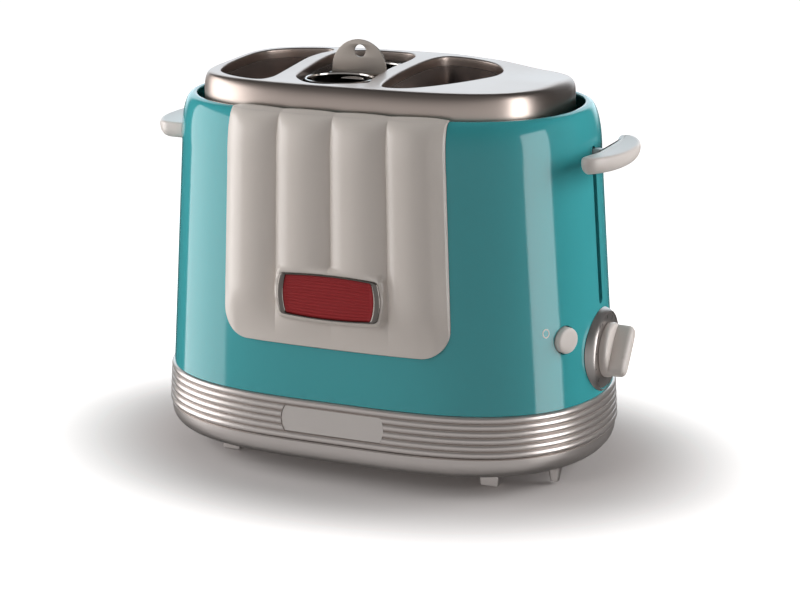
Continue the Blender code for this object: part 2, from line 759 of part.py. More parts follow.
def make_shell():
    rows = [(*shell_halves(SHELL_FOOT_Z), SHELL_FOOT_Z), *shoulder_rows()]
    rings = [body_ring(*row) for row in rows]
    for half_x, half_y, height in reversed(rows):
        rings.append(body_ring(half_x - SHELL_WALL, half_y - SHELL_WALL, height))
    shell = add_piece("body_shell", loft("body_shell", rings, hollow=True), TEAL)
    slot_top = LEVER_Z + STEM_HEIGHT / 2 + SLOT_CLEAR
    slot_foot = LEVER_Z - STEM_HEIGHT / 2 - TRAVEL - SLOT_CLEAR
    half = SLOT_WIDTH / 2
    low = (SHELL_RIM_LENGTH, -half, slot_foot)
    cut(shell, block("lever_slot", low, (SHELL_FOOT_LENGTH + OVERRUN, half, slot_top)))
    hole = SHAFT_RADIUS + SHAFT_HOLE_CLEAR
    cut(shell, bar("shaft_hole", (SHELL_RIM_LENGTH, 0, KNOB_Z), (SHELL_FOOT_LENGTH + OVERRUN, 0, KNOB_Z), hole, sides=16))
    place, outward = button_frame()
    reach = outward * (BUTTON_DEPTH + OVERRUN)
    cut(shell, bar("button_hole", place - reach, place + reach, BUTTON_RADIUS + BUTTON_CLEAR, sides=24))


def flute_height(share, height):
    """Height of the flutes over the panel's ground, across the panel from -1 to 1."""
    place = (share + 1) / 2 * FLUTE_COUNT
    across = 2 * (place - math.floor(min(place, FLUTE_COUNT - 0.0001))) - 1
    lobe = max(0.0, 1 - across * across) ** 0.7
    rise = min(1.0, max(0.0, (height - FLUTE_START_Z) / (FLUTE_FULL_Z - FLUTE_START_Z)))
    fall = min(1.0, max(0.0, (SHELL_RIM_Z - height) / FLUTE_TOP_FADE))
    return FLUTE_DEPTH * lobe * rise * rise * (3 - 2 * rise) * math.sqrt(fall)


def pedestal_share(x, height):
    """How far the badge's smooth pedestal takes over from the flutes."""
    beyond_x = abs(x) - BADGE_LENGTH / 2 - PEDESTAL_MARGIN
    beyond_z = abs(height - BADGE_Z) - BADGE_HEIGHT / 2 - PEDESTAL_MARGIN
    beyond = math.hypot(max(beyond_x, 0), max(beyond_z, 0))
    share = min(1.0, beyond / PEDESTAL_FADE)
    return 1 - share * share * (3 - 2 * share)


def panel_half(height):
    share = (height - PANEL_FOOT_Z) / (SHELL_RIM_Z - PANEL_FOOT_Z)
    return PANEL_HALF_FOOT + share * (PANEL_HALF_TOP - PANEL_HALF_FOOT)


def panel_foot(share):
    """Height of the panel's rounded lower edge across its width."""
    beyond = abs(share) * PANEL_HALF_FOOT - (PANEL_HALF_FOOT - PANEL_CORNER)
    if beyond <= 0:
        return PANEL_FOOT_Z
    return PANEL_FOOT_Z + PANEL_CORNER - math.sqrt(max(0.0, PANEL_CORNER ** 2 - beyond ** 2))


def panel_point(share, level, half_x, half_y, ground):
    """A point on the panel, its ground that far from the shell, with flutes where the ground is its face."""
    x = share * panel_half(level)
    out = body_line(x, half_x, half_y) + GAP
    if ground:
        ease = min(1.0, (1 - abs(share)) / (PANEL_EDGE / PANEL_HALF_FOOT))
        flute = flute_height(share, level)
        over = pedestal_share(x, level)
        out += PANEL_THICKNESS + (flute * (1 - over) + FLUTE_DEPTH * over) * ease
    return (x, -out, level)


def make_panel():
    columns = FLUTE_COUNT * FLUTE_COLUMNS
    edge_share = PANEL_EDGE / PANEL_HALF_FOOT
    shares = [-1.0] + [2 * i / columns - 1 for i in range(1, columns)] + [1.0]
    shares = sorted(set(shares + [edge_share - 1, 1 - edge_share]))
    level_shares = (0, 0.06, 0.11, 0.155, 0.2, 0.25, 0.3, 0.345, 0.39, 0.45, 0.7)
    shoulder = shoulder_rows()
    grids = []
    for ground in (True, False):
        grid = []
        for share in shares:
            foot = panel_foot(share)
            column = []
            for level_share in level_shares:
                level = foot + level_share * (SHELL_SHOULDER_Z - foot)
                half_x, half_y = shell_halves(level)
                column.append(panel_point(share, level, half_x, half_y, ground))
            for half_x, half_y, level in shoulder[:-1]:
                column.append(panel_point(share, level, half_x, half_y, ground))
            half_x, half_y, level = shoulder[-1]
            top = panel_point(share, level, half_x, half_y, ground)
            column.append((top[0], top[1], level))
            grid.append(column)
        grids.append(grid)
    shape = bmesh.new()
    made = [[[shape.verts.new(point) for point in column] for column in grid] for grid in grids]
    face, back = made
    across = len(shares)
    up = len(face[0])
    for i in range(across - 1):
        for k in range(up - 1):
            shape.faces.new((face[i][k], face[i + 1][k], face[i + 1][k + 1], face[i][k + 1]))
            shape.faces.new((back[i][k], back[i][k + 1], back[i + 1][k + 1], back[i + 1][k]))
        for k in (0, up - 1):
            shape.faces.new((face[i][k], back[i][k], back[i + 1][k], face[i + 1][k]))
    for i in (0, across - 1):
        for k in range(up - 1):
            shape.faces.new((face[i][k], face[i][k + 1], back[i][k + 1], back[i][k]))
    add_piece("front_panel", mesh_from("front_panel", shape), CREAM)


def make_badge():
    half_x, half_y = shell_halves(BADGE_Z - BADGE_HEIGHT / 2)
    back = -(body_line(0, half_x, half_y) + GAP + PANEL_THICKNESS + FLUTE_DEPTH + GAP)
    upright = Matrix.Translation((0, 0, BADGE_Z)) @ Matrix.Rotation(math.pi / 2, 4, "X")
    outer = superellipse(BADGE_LENGTH / 2, BADGE_HEIGHT / 2, 5, 2.6, 40)
    seat = superellipse(BADGE_LENGTH / 2 - BADGE_RIM, BADGE_HEIGHT / 2 - BADGE_RIM, 5, 2.6, 40)
    fill = superellipse(BADGE_LENGTH / 2 - BADGE_RIM - GAP, BADGE_HEIGHT / 2 - BADGE_RIM - GAP, 5, 2.6, 40)
    ring = plate("badge_bezel", (outer, seat), -back, -back + BADGE_THICKNESS)
    add_piece("badge_bezel", stand_up(ring, upright), CHROME)
    enamel = plate("badge_plate", (fill,), -back, -back + BADGE_PLATE_THICKNESS)
    add_piece("badge_plate", stand_up(enamel, upright), RED)


def bay_outline(inner_x, outer_x, inset=0.0):
    """A bun bay's outline: one flat side with rounded ends, and one round side."""
    sign = 1 if outer_x > inner_x else -1
    line = inner_x + sign * BAY_FLAT_DEPTH
    round_half = abs(outer_x - line) - inset
    flat_half = BAY_FLAT_DEPTH - inset
    half_y = OPENING_HALF_Y - inset
    points = []
    for i in range(BAY_POINTS):
        angle = math.tau * i / BAY_POINTS
        out = math.cos(angle)
        if out >= 0:
            x = round_half * abs(out) ** (2 / BAY_ROUND_POWER)
            y = half_y * signed_power(math.sin(angle), 2 / BAY_ROUND_POWER)
        else:
            x = -flat_half * abs(out) ** (2 / BAY_FLAT_POWER)
            y = half_y * signed_power(math.sin(angle), 2 / BAY_FLAT_POWER)
        points.append((line + sign * x, y))
    return points


def basket_outline(inset=0.0):
    flat = superellipse(BASKET_HALF_X - inset, OPENING_HALF_Y - inset, BASKET_POWER, BASKET_POWER, BAY_POINTS)
    return [(BASKET_MID_X + x, y) for x, y in flat]


def left_bay(inset=0.0):
    return bay_outline(LEFT_INNER_X, LEFT_OUTER_X, inset)


def right_bay(inset=0.0):
    return bay_outline(RIGHT_INNER_X, RIGHT_OUTER_X, inset)


def raise_to(outline, height):
    return [(x, y, height) for x, y in outline]


def make_cover():
    def rings(offset, foot):
        rows = [(COVER_WALL_LENGTH + COVER_SKIRT_FLARE, COVER_WALL_WIDTH + COVER_SKIRT_FLARE, foot)]
        for step in range(SHOULDER_STEPS + 1):
            angle = math.pi / 2 * step / SHOULDER_STEPS
            turn_in = COVER_SHOULDER * (1 - math.cos(angle))
            rise = COVER_SHOULDER * math.sin(angle)
            rows.append((COVER_WALL_LENGTH - turn_in, COVER_WALL_WIDTH - turn_in, COVER_WALL_Z + rise))
        return [cover_ring(x - offset, y - offset, z - (offset if i else 0)) for i, (x, y, z) in enumerate(rows)]
    foot = COVER_TOP_Z - COVER_SKIRT_HEIGHT
    cover = add_piece("top_cover", loft("top_cover", rings(0, foot)), STEEL)
    cut(cover, loft("cover_inside", rings(SHEET, foot - OVERRUN)))
    for name, outline in (("left_bay", left_bay), ("basket_bay", basket_outline), ("right_bay", right_bay)):
        join(cover, loft(f"{name}_flange", [raise_to(outline(-SHEET), z)
                                            for z in (COVER_TOP_Z - FLANGE_DEPTH, COVER_TOP_Z - SHEET / 2)]))
        cut(cover, loft(f"{name}_mouth", [raise_to(outline(), z)
                                          for z in (COVER_TOP_Z - FLANGE_DEPTH - OVERRUN, COVER_TOP_Z + OVERRUN)]))


def make_sleeve(name, outline, windows, tongue_x=None):
    """The sheet sleeve that guides what stands in a bay, open to the heating wires through its windows."""
    outside = SLEEVE_STEP - SHEET
    rings = [raise_to(outline(outside), SEAT_Z), raise_to(outline(outside), SLEEVE_TOP_Z),
             raise_to(outline(SLEEVE_STEP), SLEEVE_TOP_Z), raise_to(outline(SLEEVE_STEP), SEAT_Z)]
    sleeve = add_piece(name, loft(name, rings, hollow=True), POLISHED)
    left, right = windows
    for number in range(WINDOW_COUNT):
        middle = (number - (WINDOW_COUNT - 1) / 2) * WINDOW_PITCH
        low = (left, middle - WINDOW_WIDTH / 2, SEAT_Z + WINDOW_FOOT_MARGIN)
        high = (right, middle + WINDOW_WIDTH / 2, SLEEVE_TOP_Z - WINDOW_TOP_MARGIN)
        cut(sleeve, block(f"{name}_window_{number}", low, high))
    if tongue_x is not None:
        half = TONGUE_WIDTH / 2 + TONGUE_CLEAR
        low = (tongue_x - half, -FRAME_HALF_Y, SEAT_Z - OVERRUN)
        high = (tongue_x + half, FRAME_HALF_Y, FRAME_Z + FRAME_HEIGHT + TONGUE_CLEAR)
        cut(sleeve, block(f"{name}_tongue_slot", low, high))
    return sleeve


def make_sleeves():
    make_sleeve("left_bun_sleeve", left_bay, (LEFT_OUTER_X - OVERRUN, LEFT_INNER_X + OVERRUN), LEFT_TONGUE_X)
    make_sleeve("right_bun_sleeve", right_bay, (RIGHT_INNER_X - OVERRUN, RIGHT_OUTER_X + OVERRUN), RIGHT_TONGUE_X)
    make_sleeve("basket_sleeve", basket_outline, (BASKET_LEFT_X - OVERRUN, BASKET_RIGHT_X + OVERRUN))


def make_chassis():
    length = SHELL_FOOT_LENGTH - SHELL_WALL - CHASSIS_MARGIN
    width = SHELL_FOOT_WIDTH - SHELL_WALL - CHASSIS_MARGIN
    outer = superellipse(length, width, BODY_END_POWER, BODY_SIDE_POWER)
    windows = [outline(FLOOR_WINDOW_INSET) for outline in (left_bay, basket_outline, right_bay)]
    floor = plate("chassis_floor", (outer, *windows), CHASSIS_FLOOR_Z, CHASSIS_TOP_Z)
    add_piece("chassis_floor", floor, POLISHED)
    ear_top = COVER_UNDER_Z - GAP
    ends = (
        ("left_chassis_plate", LEFT_OUTER_X - LEFT_PLATE_GAP, LEFT_PLATE_WIDTH),
        ("right_chassis_plate", RIGHT_OUTER_X + RIGHT_PLATE_GAP, RIGHT_PLATE_WIDTH),
    )
    upright = Matrix(((0, 0, 1, 0), (1, 0, 0, 0), (0, 1, 0, 0), (0, 0, 0, 1)))
    for name, x, width in ends:
        half = width / 2
        ear = PLATE_EAR_WIDTH / 2
        outline = ((-half, SEAT_Z), (half, SEAT_Z), (half, PLATE_SHOULDER_Z), (ear, PLATE_SHOULDER_Z), (ear, ear_top),
                   (-ear, ear_top), (-ear, PLATE_SHOULDER_Z), (-half, PLATE_SHOULDER_Z))
        sheet = plate(name, (outline,), x - CHASSIS_SHEET / 2, x + CHASSIS_SHEET / 2)
        add_piece(name, stand_up(sheet, upright), POLISHED)
    for name, side in (("front_heat_shield", -1), ("rear_heat_shield", 1)):
        near = sorted((side * SHIELD_Y, side * (SHIELD_Y + SHEET)))
        low = (SHIELD_LEFT_X, near[0], SEAT_Z)
        add_piece(name, block(name, low, (SHIELD_RIGHT_X, near[1], SHIELD_TOP_Z)), POLISHED)


def make_heater(name, x, facing):
    """A mica card across the machine, with a resistance wire in upright runs on the side that it heats."""
    half = CARD_WIDTH / 2
    top = SEAT_Z + CARD_HEIGHT
    add_piece(f"{name}_card", block(f"{name}_card", (x - CARD_THICKNESS / 2, -half, SEAT_Z),
                                    (x + CARD_THICKNESS / 2, half, top)), MICA)
    curve = bpy.data.curves.new(f"{name}_wire", "CURVE")
    curve.dimensions = "3D"
    curve.bevel_depth = WIRE_RADIUS
    curve.bevel_resolution = 0
    curve.use_fill_caps = True
    points = []
    pitch = (CARD_WIDTH - 2 * WIRE_MARGIN) / (WIRE_RUNS - 1)
    wire_x = x + facing * (CARD_THICKNESS / 2 + GAP + WIRE_RADIUS)
    for run in range(WIRE_RUNS):
        y = -half + WIRE_MARGIN + run * pitch
        ends = (SEAT_Z + WIRE_FOOT_RISE, top - WIRE_MARGIN)
        for z in ends if run % 2 == 0 else reversed(ends):
            points.append((wire_x, y, z))
    spline = curve.splines.new("POLY")
    spline.points.add(len(points) - 1)
    for target, point in zip(spline.points, points):
        target.co = (*point, 1)
    add_piece(f"{name}_wire", curve, NICHROME)


def make_heaters():
    left_gap = (LEFT_INNER_X + BASKET_LEFT_X) / 2
    right_gap = (BASKET_RIGHT_X + RIGHT_INNER_X) / 2
    make_heater("left_outer_heater", LEFT_OUTER_X - CARD_STANDOFF, 1)
    make_heater("left_inner_heater", left_gap, -1)
    make_heater("right_inner_heater", right_gap, 1)
    make_heater("right_outer_heater", RIGHT_OUTER_X + CARD_STANDOFF, -1)


def make_carriage():
    slide = carrier("carriage_slide", (ROD_X, 0, LEVER_Z))
    inner_y = FRAME_HALF_Y - FRAME_BAR
    inner_x = FRAME_RIGHT_X - FRAME_BAR
    outline = ((FRAME_RIGHT_X, -FRAME_HALF_Y), (FRAME_RIGHT_X, FRAME_HALF_Y), (FRAME_LEFT_X, FRAME_HALF_Y),
               (FRAME_LEFT_X, inner_y), (inner_x, inner_y), (inner_x, -inner_y), (FRAME_LEFT_X, -inner_y),
               (FRAME_LEFT_X, -FRAME_HALF_Y))
    frame_top = FRAME_Z + FRAME_HEIGHT
    add_piece("lift_frame", plate("lift_frame", (outline,), FRAME_Z, frame_top), POLISHED, slide)
    for name, bay, x in (("left_bun_rest", left_bay, LEFT_TONGUE_X), ("right_bun_rest", right_bay, RIGHT_TONGUE_X)):
        rest_top = FRAME_Z + REST_THICKNESS
        rest = add_piece(name, loft(name, [raise_to(bay(REST_INSET), z) for z in (FRAME_Z, rest_top)]), POLISHED, slide)
        half = TONGUE_WIDTH / 2
        reach = inner_y - GAP
        join(rest, block(f"{name}_tongue", (x - half, -reach, FRAME_Z), (x + half, reach, rest_top)))
    saddle_left = FRAME_RIGHT_X + GAP
    saddle = block("lever_arm", (saddle_left, -SADDLE_HALF_Y, FRAME_Z),
                   (SADDLE_RIGHT_X, SADDLE_HALF_Y, FRAME_Z + SADDLE_THICKNESS))
    arm = add_piece("lever_arm", saddle, POLISHED, slide)
    stem_top = LEVER_Z + STEM_HEIGHT / 2
    join(arm, bar("lever_hub", (ROD_X, 0, FRAME_Z + SADDLE_THICKNESS / 2), (ROD_X, 0, stem_top), HUB_RADIUS, sides=20))
    stem_half = STEM_THICKNESS / 2
    join(arm, block("lever_stem", (ROD_X, -stem_half, stem_top - STEM_HEIGHT),
                    (HANDLE_INNER_X + STEM_BITE, stem_half, stem_top - STEM_HEIGHT / 8)))
    bore = ROD_RADIUS + HUB_FIT
    cut(arm, bar("hub_bore", (ROD_X, 0, FRAME_Z - OVERRUN), (ROD_X, 0, stem_top + OVERRUN), bore, sides=20))
    under = FRAME_Z - GAP
    add_piece("armature", bar("armature", (ROD_X, MAGNET_Y, under - ARMATURE_THICKNESS), (ROD_X, MAGNET_Y, under),
                              ARMATURE_RADIUS, sides=20), STEEL, slide)
    add_piece("lever_handle", handle_mesh("lever_handle", 1, HANDLE_INNER_X, HANDLE_INNER_X + HANDLE_REACH), CREAM, slide)
    handle = parts.objects["lever_handle"]
    soften(handle, HANDLE_ROUND, 3)
    pocket = stem_half + GAP
    cut(handle, block("stem_pocket", (HANDLE_INNER_X - OVERRUN, -pocket, stem_top - STEM_HEIGHT - GAP),
                      (HANDLE_INNER_X + STEM_BITE + GAP, pocket, stem_top + GAP)))
    make_spring(slide)


def make_spring(slide):
    """The spring that pulls the carriage up, from the bracket to the saddle."""
    low = FRAME_Z + SADDLE_THICKNESS + GAP + SPRING_WIRE
    high = BRACKET_Z - GAP - SPRING_WIRE
    curve = bpy.data.curves.new("lift_spring", "CURVE")
    curve.dimensions = "3D"
    curve.bevel_depth = SPRING_WIRE
    curve.bevel_resolution = 0
    curve.use_fill_caps = True
    count = SPRING_TURNS * SPRING_TURN_POINTS + 1
    spline = curve.splines.new("POLY")
    spline.points.add(count - 1)
    for i, point in enumerate(spline.points):
        angle = math.tau * i / SPRING_TURN_POINTS
        height = low + (high - low) * i / (count - 1)
        point.co = (ROD_X + SPRING_RADIUS * math.cos(angle), SPRING_Y + SPRING_RADIUS * math.sin(angle), height, 1)
    add_piece("lift_spring", curve, STEEL)


def handle_mesh(name, sign, inner_x, outer_x):
    """A shelf to press or hold, flat on the side next to the body and round on the other."""
    points = []
    for i in range(HANDLE_POINTS):
        angle = math.tau * i / HANDLE_POINTS
        out = math.cos(angle)
        depth = outer_x - inner_x if out >= 0 else HANDLE_FLAT_DEPTH
        power = 2 / HANDLE_POWER if out >= 0 else 2 / BAY_FLAT_POWER
        x = inner_x + depth * signed_power(out, power)
        y = HANDLE_HALF_Y * signed_power(math.sin(angle), power)
        points.append((sign * x, y))
    return plate(name, (points,), LEVER_Z - HANDLE_HEIGHT / 2, LEVER_Z + HANDLE_HEIGHT / 2)


def make_side_grip():
    """The fixed grip on the other end, at the lever's height and of its shape."""
    mesh = handle_mesh("left_side_grip", -1, GRIP_REACH_X - HANDLE_REACH, GRIP_REACH_X)
    grip = soften(add_piece("left_side_grip", mesh, CREAM), HANDLE_ROUND, 3)
    half = HANDLE_HALF_Y - HANDLE_ROUND
    low = (-GRIP_REACH_X + HANDLE_REACH - HANDLE_ROUND / 4, -half, LEVER_Z - HANDLE_HEIGHT / 4)
    join(grip, block("grip_root", low, (-SHELL_RIM_LENGTH + HANDLE_REACH / 2, half, LEVER_Z + HANDLE_HEIGHT / 4)))
    cut(grip, shell_mass("shell_over_grip", GAP))


def make_guide():
    """The carriage's guide rod, its top bracket, and the magnet that holds the carriage down."""
    add_piece("guide_rod", bar("guide_rod", (ROD_X, 0, SEAT_Z), (ROD_X, 0, BRACKET_Z - GAP), ROD_RADIUS, sides=20), STEEL)
    plate_x = RIGHT_OUTER_X + RIGHT_PLATE_GAP + CHASSIS_SHEET / 2 + GAP
    top = BRACKET_Z + CHASSIS_SHEET
    mesh = block("top_bracket", (plate_x, -BRACKET_HALF_Y, BRACKET_Z), (BRACKET_RIGHT_X, BRACKET_HALF_Y, top))
    bracket = add_piece("top_bracket", mesh, POLISHED)
    join(bracket, block("bracket_leg", (plate_x, -BRACKET_HALF_Y, BRACKET_Z - BRACKET_LEG),
                        (plate_x + CHASSIS_SHEET, BRACKET_HALF_Y, BRACKET_Z + CHASSIS_SHEET / 2)))
    core_top = FRAME_Z - GAP - ARMATURE_THICKNESS - TRAVEL - GAP
    coil_top = core_top - MAGNET_POLE
    core = add_piece("magnet_core", bar("magnet_core", (ROD_X, MAGNET_Y, SEAT_Z), (ROD_X, MAGNET_Y, core_top),
                                        MAGNET_CORE_RADIUS, sides=16), STEEL)
    core.data.name = "magnet_core"
    bore = MAGNET_CORE_RADIUS + GAP
    profile = ((MAGNET_COIL_RADIUS, coil_top), (MAGNET_COIL_RADIUS, SEAT_Z), (bore, SEAT_Z), (bore, coil_top))
    turned("magnet_coil", profile, COPPER, place=(ROD_X, MAGNET_Y, 0), steps=20)


def make_timer():
    half_x, _ = shell_halves(KNOB_Z)
    board_front = BOARD_X + BOARD_THICKNESS
    mesh = block("control_board", (BOARD_X, -BOARD_HALF_Y, SEAT_Z), (board_front, BOARD_HALF_Y, BOARD_TOP_Z))
    add_piece("control_board", mesh, BOARD)
    front = half_x - SHELL_WALL - TIMER_WALL_CLEAR
    back = board_front + GAP
    bore = SHAFT_RADIUS + SHAFT_FIT
    turned("timer_body", ((TIMER_RADIUS, front), (TIMER_RADIUS, back), (bore, back), (bore, front)), DARK,
           place=(0, 0, KNOB_Z), along_x=True)
    bezel = turned("timer_bezel", (
        (BEZEL_LIP_RADIUS - BEZEL_LIP, BEZEL_FRONT_X), (BEZEL_LIP_RADIUS, BEZEL_FRONT_X),
        (BEZEL_RADIUS, BEZEL_FRONT_X - (BEZEL_RADIUS - BEZEL_LIP_RADIUS) * 1.4), (BEZEL_RADIUS, BEZEL_BACK_X),
        (SHAFT_RADIUS + SHAFT_HOLE_CLEAR, BEZEL_BACK_X), (SHAFT_RADIUS + SHAFT_HOLE_CLEAR, DIAL_X),
        (BEZEL_LIP_RADIUS - BEZEL_LIP - DIAL_RECESS, DIAL_X),
    ), SILVER, place=(0, 0, KNOB_Z), along_x=True, steps=40)
    cut(bezel, shell_mass("shell_over_bezel", GAP))
    axis = carrier("timer_knob_axis", (0, 0, KNOB_Z))
    shaft_front = KNOB_BACK_X + SHAFT_BITE
    add_piece("timer_shaft", bar("timer_shaft", (back, 0, KNOB_Z), (shaft_front, 0, KNOB_Z), SHAFT_RADIUS, sides=20), STEEL, axis)
    knob = add_piece("timer_knob", bar("timer_knob", (KNOB_BACK_X, 0, KNOB_Z), (KNOB_REACH_X, 0, KNOB_Z), KNOB_RADIUS), CREAM, axis)
    for name, side in (("front_scoop", -1), ("rear_scoop", 1)):
        y = side * (KNOB_BAR / 2 + KNOB_SCOOP_RADIUS)
        reach = KNOB_RADIUS + OVERRUN
        cut(knob, bar(name, (KNOB_REACH_X, y, KNOB_Z - reach), (KNOB_REACH_X, y, KNOB_Z + reach), KNOB_SCOOP_RADIUS))
    cut(knob, bar("knob_bore", (KNOB_BACK_X - OVERRUN, 0, KNOB_Z), (shaft_front + GAP, 0, KNOB_Z), SHAFT_RADIUS + GAP, sides=20))


def make_button():
    place, outward = button_frame()
    axis = carrier("stop_button_slide", place)
    start = place - outward * BUTTON_DEPTH
    mesh = bar("stop_button", start, place + outward * BUTTON_PROUD, BUTTON_RADIUS, sides=24)
    soften(add_piece("stop_button", mesh, CREAM, axis), BUTTON_ROUND, 2, 60)
    front = start - outward * (BUTTON_TRAVEL + GAP)
    switch = add_piece("stop_switch", bar("stop_switch", front, front - outward * SWITCH_LENGTH, SWITCH_RADIUS, sides=16), DARK)
    board_front = BOARD_X + BOARD_THICKNESS + GAP
    cut(switch, block("board_over_switch", (BOARD_X - SWITCH_LENGTH, -BOARD_HALF_Y - SWITCH_LENGTH, SEAT_Z),
                      (board_front, BOARD_HALF_Y, BOARD_TOP_Z + SWITCH_LENGTH)))


def make_basket():
    slide = carrier("basket_slide", (BASKET_X, 0, RING_TOP_Z))
    low = RING_TOP_Z - SHEET
    mesh = block("basket_frame", (BASKET_X - BRIDGE_HALF_X, -BRIDGE_HALF_Y, low), (BASKET_X + BRIDGE_HALF_X, BRIDGE_HALF_Y, RING_TOP_Z))
    frame = add_piece("basket_frame", mesh, POLISHED, slide)
    ear_z = SLEEVE_TOP_Z + GAP
    join(frame, block("basket_ears", (BASKET_LEFT_X + EAR_REACH, -EAR_WIDTH / 2, ear_z),
                      (BASKET_RIGHT_X - EAR_REACH, EAR_WIDTH / 2, ear_z + EAR_THICKNESS)))
    join(frame, block("basket_neck", (BASKET_X - BRIDGE_HALF_X / 2, -EAR_WIDTH / 8, ear_z + EAR_THICKNESS / 2),
                      (BASKET_X + BRIDGE_HALF_X / 2, EAR_WIDTH / 8, RING_TOP_Z - SHEET / 2)))
    outline = [(TAB_RADIUS * math.cos(math.pi * i / 16), TAB_RISE - TAB_RADIUS + TAB_RADIUS * math.sin(math.pi * i / 16))
               for i in range(17)]
    outline += [(-TAB_RADIUS, -RING_DROP - SHEET), (TAB_RADIUS, -RING_DROP - SHEET)]
    hole = [(x, y + TAB_RISE - TAB_HOLE_DROP) for x, y in superellipse(TAB_HOLE_RADIUS, TAB_HOLE_RADIUS, 2, 2, 20)]
    tab = plate("basket_tab", (outline, hole), -TAB_THICKNESS / 2, TAB_THICKNESS / 2)
    upright = Matrix.Translation((BASKET_X, 0, COVER_TOP_Z)) @ Matrix.Rotation(math.pi / 2, 4, "X")
    join(frame, stand_up(tab, upright))
    for side in (-1, 1):
        y = side * RING_Y
        foot = RING_TOP_Z - RING_HEIGHT
        join(frame, bar(f"collar_{side + 1}", (BASKET_X, y, foot), (BASKET_X, y, RING_TOP_Z), RING_RADIUS))
    for side in (-1, 1):
        y = side * RING_Y
        cut(frame, bar(f"collar_mouth_{side + 1}", (BASKET_X, y, RING_TOP_Z - RING_HEIGHT - OVERRUN),
                       (BASKET_X, y, RING_TOP_Z + OVERRUN), RING_RADIUS - SHEET))
    for name, side in (("front_sausage_cage", -1), ("rear_sausage_cage", 1)):
        y = side * RING_Y
        top = RING_TOP_Z - RING_HEIGHT - GAP
        cage = add_piece(name, bar(name, (BASKET_X, y, CAGE_FOOT_Z), (BASKET_X, y, top), CAGE_RADIUS, sides=CAGE_SIDES), POLISHED, slide)
        cut(cage, bar(f"{name}_inside", (BASKET_X, y, CAGE_FOOT_Z + SHEET), (BASKET_X, y, top + OVERRUN),
                      CAGE_RADIUS - SHEET, sides=CAGE_SIDES))
        reach = CAGE_RADIUS + OVERRUN / 2
        half = CAGE_SLOT / 2
        slot_low = CAGE_FOOT_Z + CAGE_SLOT_MARGIN
        slot_high = top - CAGE_SLOT_MARGIN
        cut(cage, block(f"{name}_slots_x", (BASKET_X - reach, y - half, slot_low), (BASKET_X + reach, y + half, slot_high)),
            block(f"{name}_slots_y", (BASKET_X - half, y - reach, slot_low), (BASKET_X + half, y + reach, slot_high)),
            bar(f"{name}_drain", (BASKET_X, y, CAGE_FOOT_Z - OVERRUN), (BASKET_X, y, CAGE_FOOT_Z + OVERRUN), DRAIN_RADIUS, sides=16))


def make_gland():
    """The bush where the mains lead enters through the pan."""
    under = FOOT_HEIGHT - GAP
    over = FOOT_HEIGHT + PAN_WALL + GAP
    profile = (
        (GLAND_FLANGE, over + GLAND_FLANGE_THICKNESS), (GLAND_FLANGE, over), (GLAND_BARREL, over), (GLAND_BARREL, under),
        (GLAND_FLANGE, under), (GLAND_FLANGE, under - GLAND_FLANGE_THICKNESS), (GLAND_BORE, under - GLAND_FLANGE_THICKNESS),
        (GLAND_BORE, over + GLAND_FLANGE_THICKNESS),
    )
    turned("cord_inlet", profile, RUBBER, place=(GLAND_X, GLAND_Y, 0), steps=20)


def centre_on_table():
    """Moves the whole so that its box stands centred over the origin."""
    bpy.context.view_layer.update()
    sight = bpy.context.evaluated_depsgraph_get()
    points = []
    for piece in parts.objects:
        if piece.type == "EMPTY":
            continue
        solid = piece.evaluated_get(sight)
        mesh = solid.to_mesh()
        points += [solid.matrix_world @ vertex.co for vertex in mesh.vertices]
        solid.to_mesh_clear()
    low = [min(point[i] for point in points) for i in range(3)]
    high = [max(point[i] for point in points) for i in range(3)]
    root.location = (-(low[0] + high[0]) / 2, -(low[1] + high[1]) / 2, -low[2])
    print("moved by", [round(value, 6) for value in root.location])


def main():
    make_pan()
    make_feet()
    make_band()
    make_tray()
    make_shell()
    make_panel()
    make_badge()
    make_cover()
    make_sleeves()
    make_chassis()
    make_heaters()
    make_carriage()
    make_side_grip()
    make_guide()
    make_timer()
    make_button()
    make_basket()
    make_gland()
    centre_on_table()
    for empty in (item for item in parts.objects if item.type == "EMPTY"):
        bpy.context.view_layer.update()
        print(empty.name, [round(value, 6) for value in empty.matrix_world.translation])


main()
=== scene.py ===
"""The looks of a hot dog maker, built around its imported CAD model.

Metres, +Z up. +X is the end with the lever and the timer knob, -Y is the fluted front. Pieces are
modelled round the middle of the base and moved to the CAD model's place when they are finished.
"""

import math

import bmesh
import bpy
from mathutils import Matrix, Vector
from mathutils.geometry import delaunay_2d_cdt


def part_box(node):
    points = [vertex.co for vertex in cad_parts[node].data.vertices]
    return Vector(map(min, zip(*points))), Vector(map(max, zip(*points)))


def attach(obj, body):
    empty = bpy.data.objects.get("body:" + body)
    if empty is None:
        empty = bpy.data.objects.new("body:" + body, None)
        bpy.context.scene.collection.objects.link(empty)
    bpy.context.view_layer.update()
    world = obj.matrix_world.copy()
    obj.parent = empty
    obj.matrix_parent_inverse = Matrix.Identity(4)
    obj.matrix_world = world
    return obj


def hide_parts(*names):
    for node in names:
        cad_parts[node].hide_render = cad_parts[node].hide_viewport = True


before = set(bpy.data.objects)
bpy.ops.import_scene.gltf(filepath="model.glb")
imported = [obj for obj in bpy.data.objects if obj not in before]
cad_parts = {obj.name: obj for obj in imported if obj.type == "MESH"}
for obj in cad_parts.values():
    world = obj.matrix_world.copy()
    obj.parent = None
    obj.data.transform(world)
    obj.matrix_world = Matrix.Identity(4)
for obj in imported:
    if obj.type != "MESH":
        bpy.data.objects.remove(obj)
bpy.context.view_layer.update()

# The middle of the machine, seen from above
BASE_LOW, BASE_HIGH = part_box("base_band")
MIDDLE = Vector(((BASE_LOW.x + BASE_HIGH.x) / 2, (BASE_LOW.y + BASE_HIGH.y) / 2, 0))

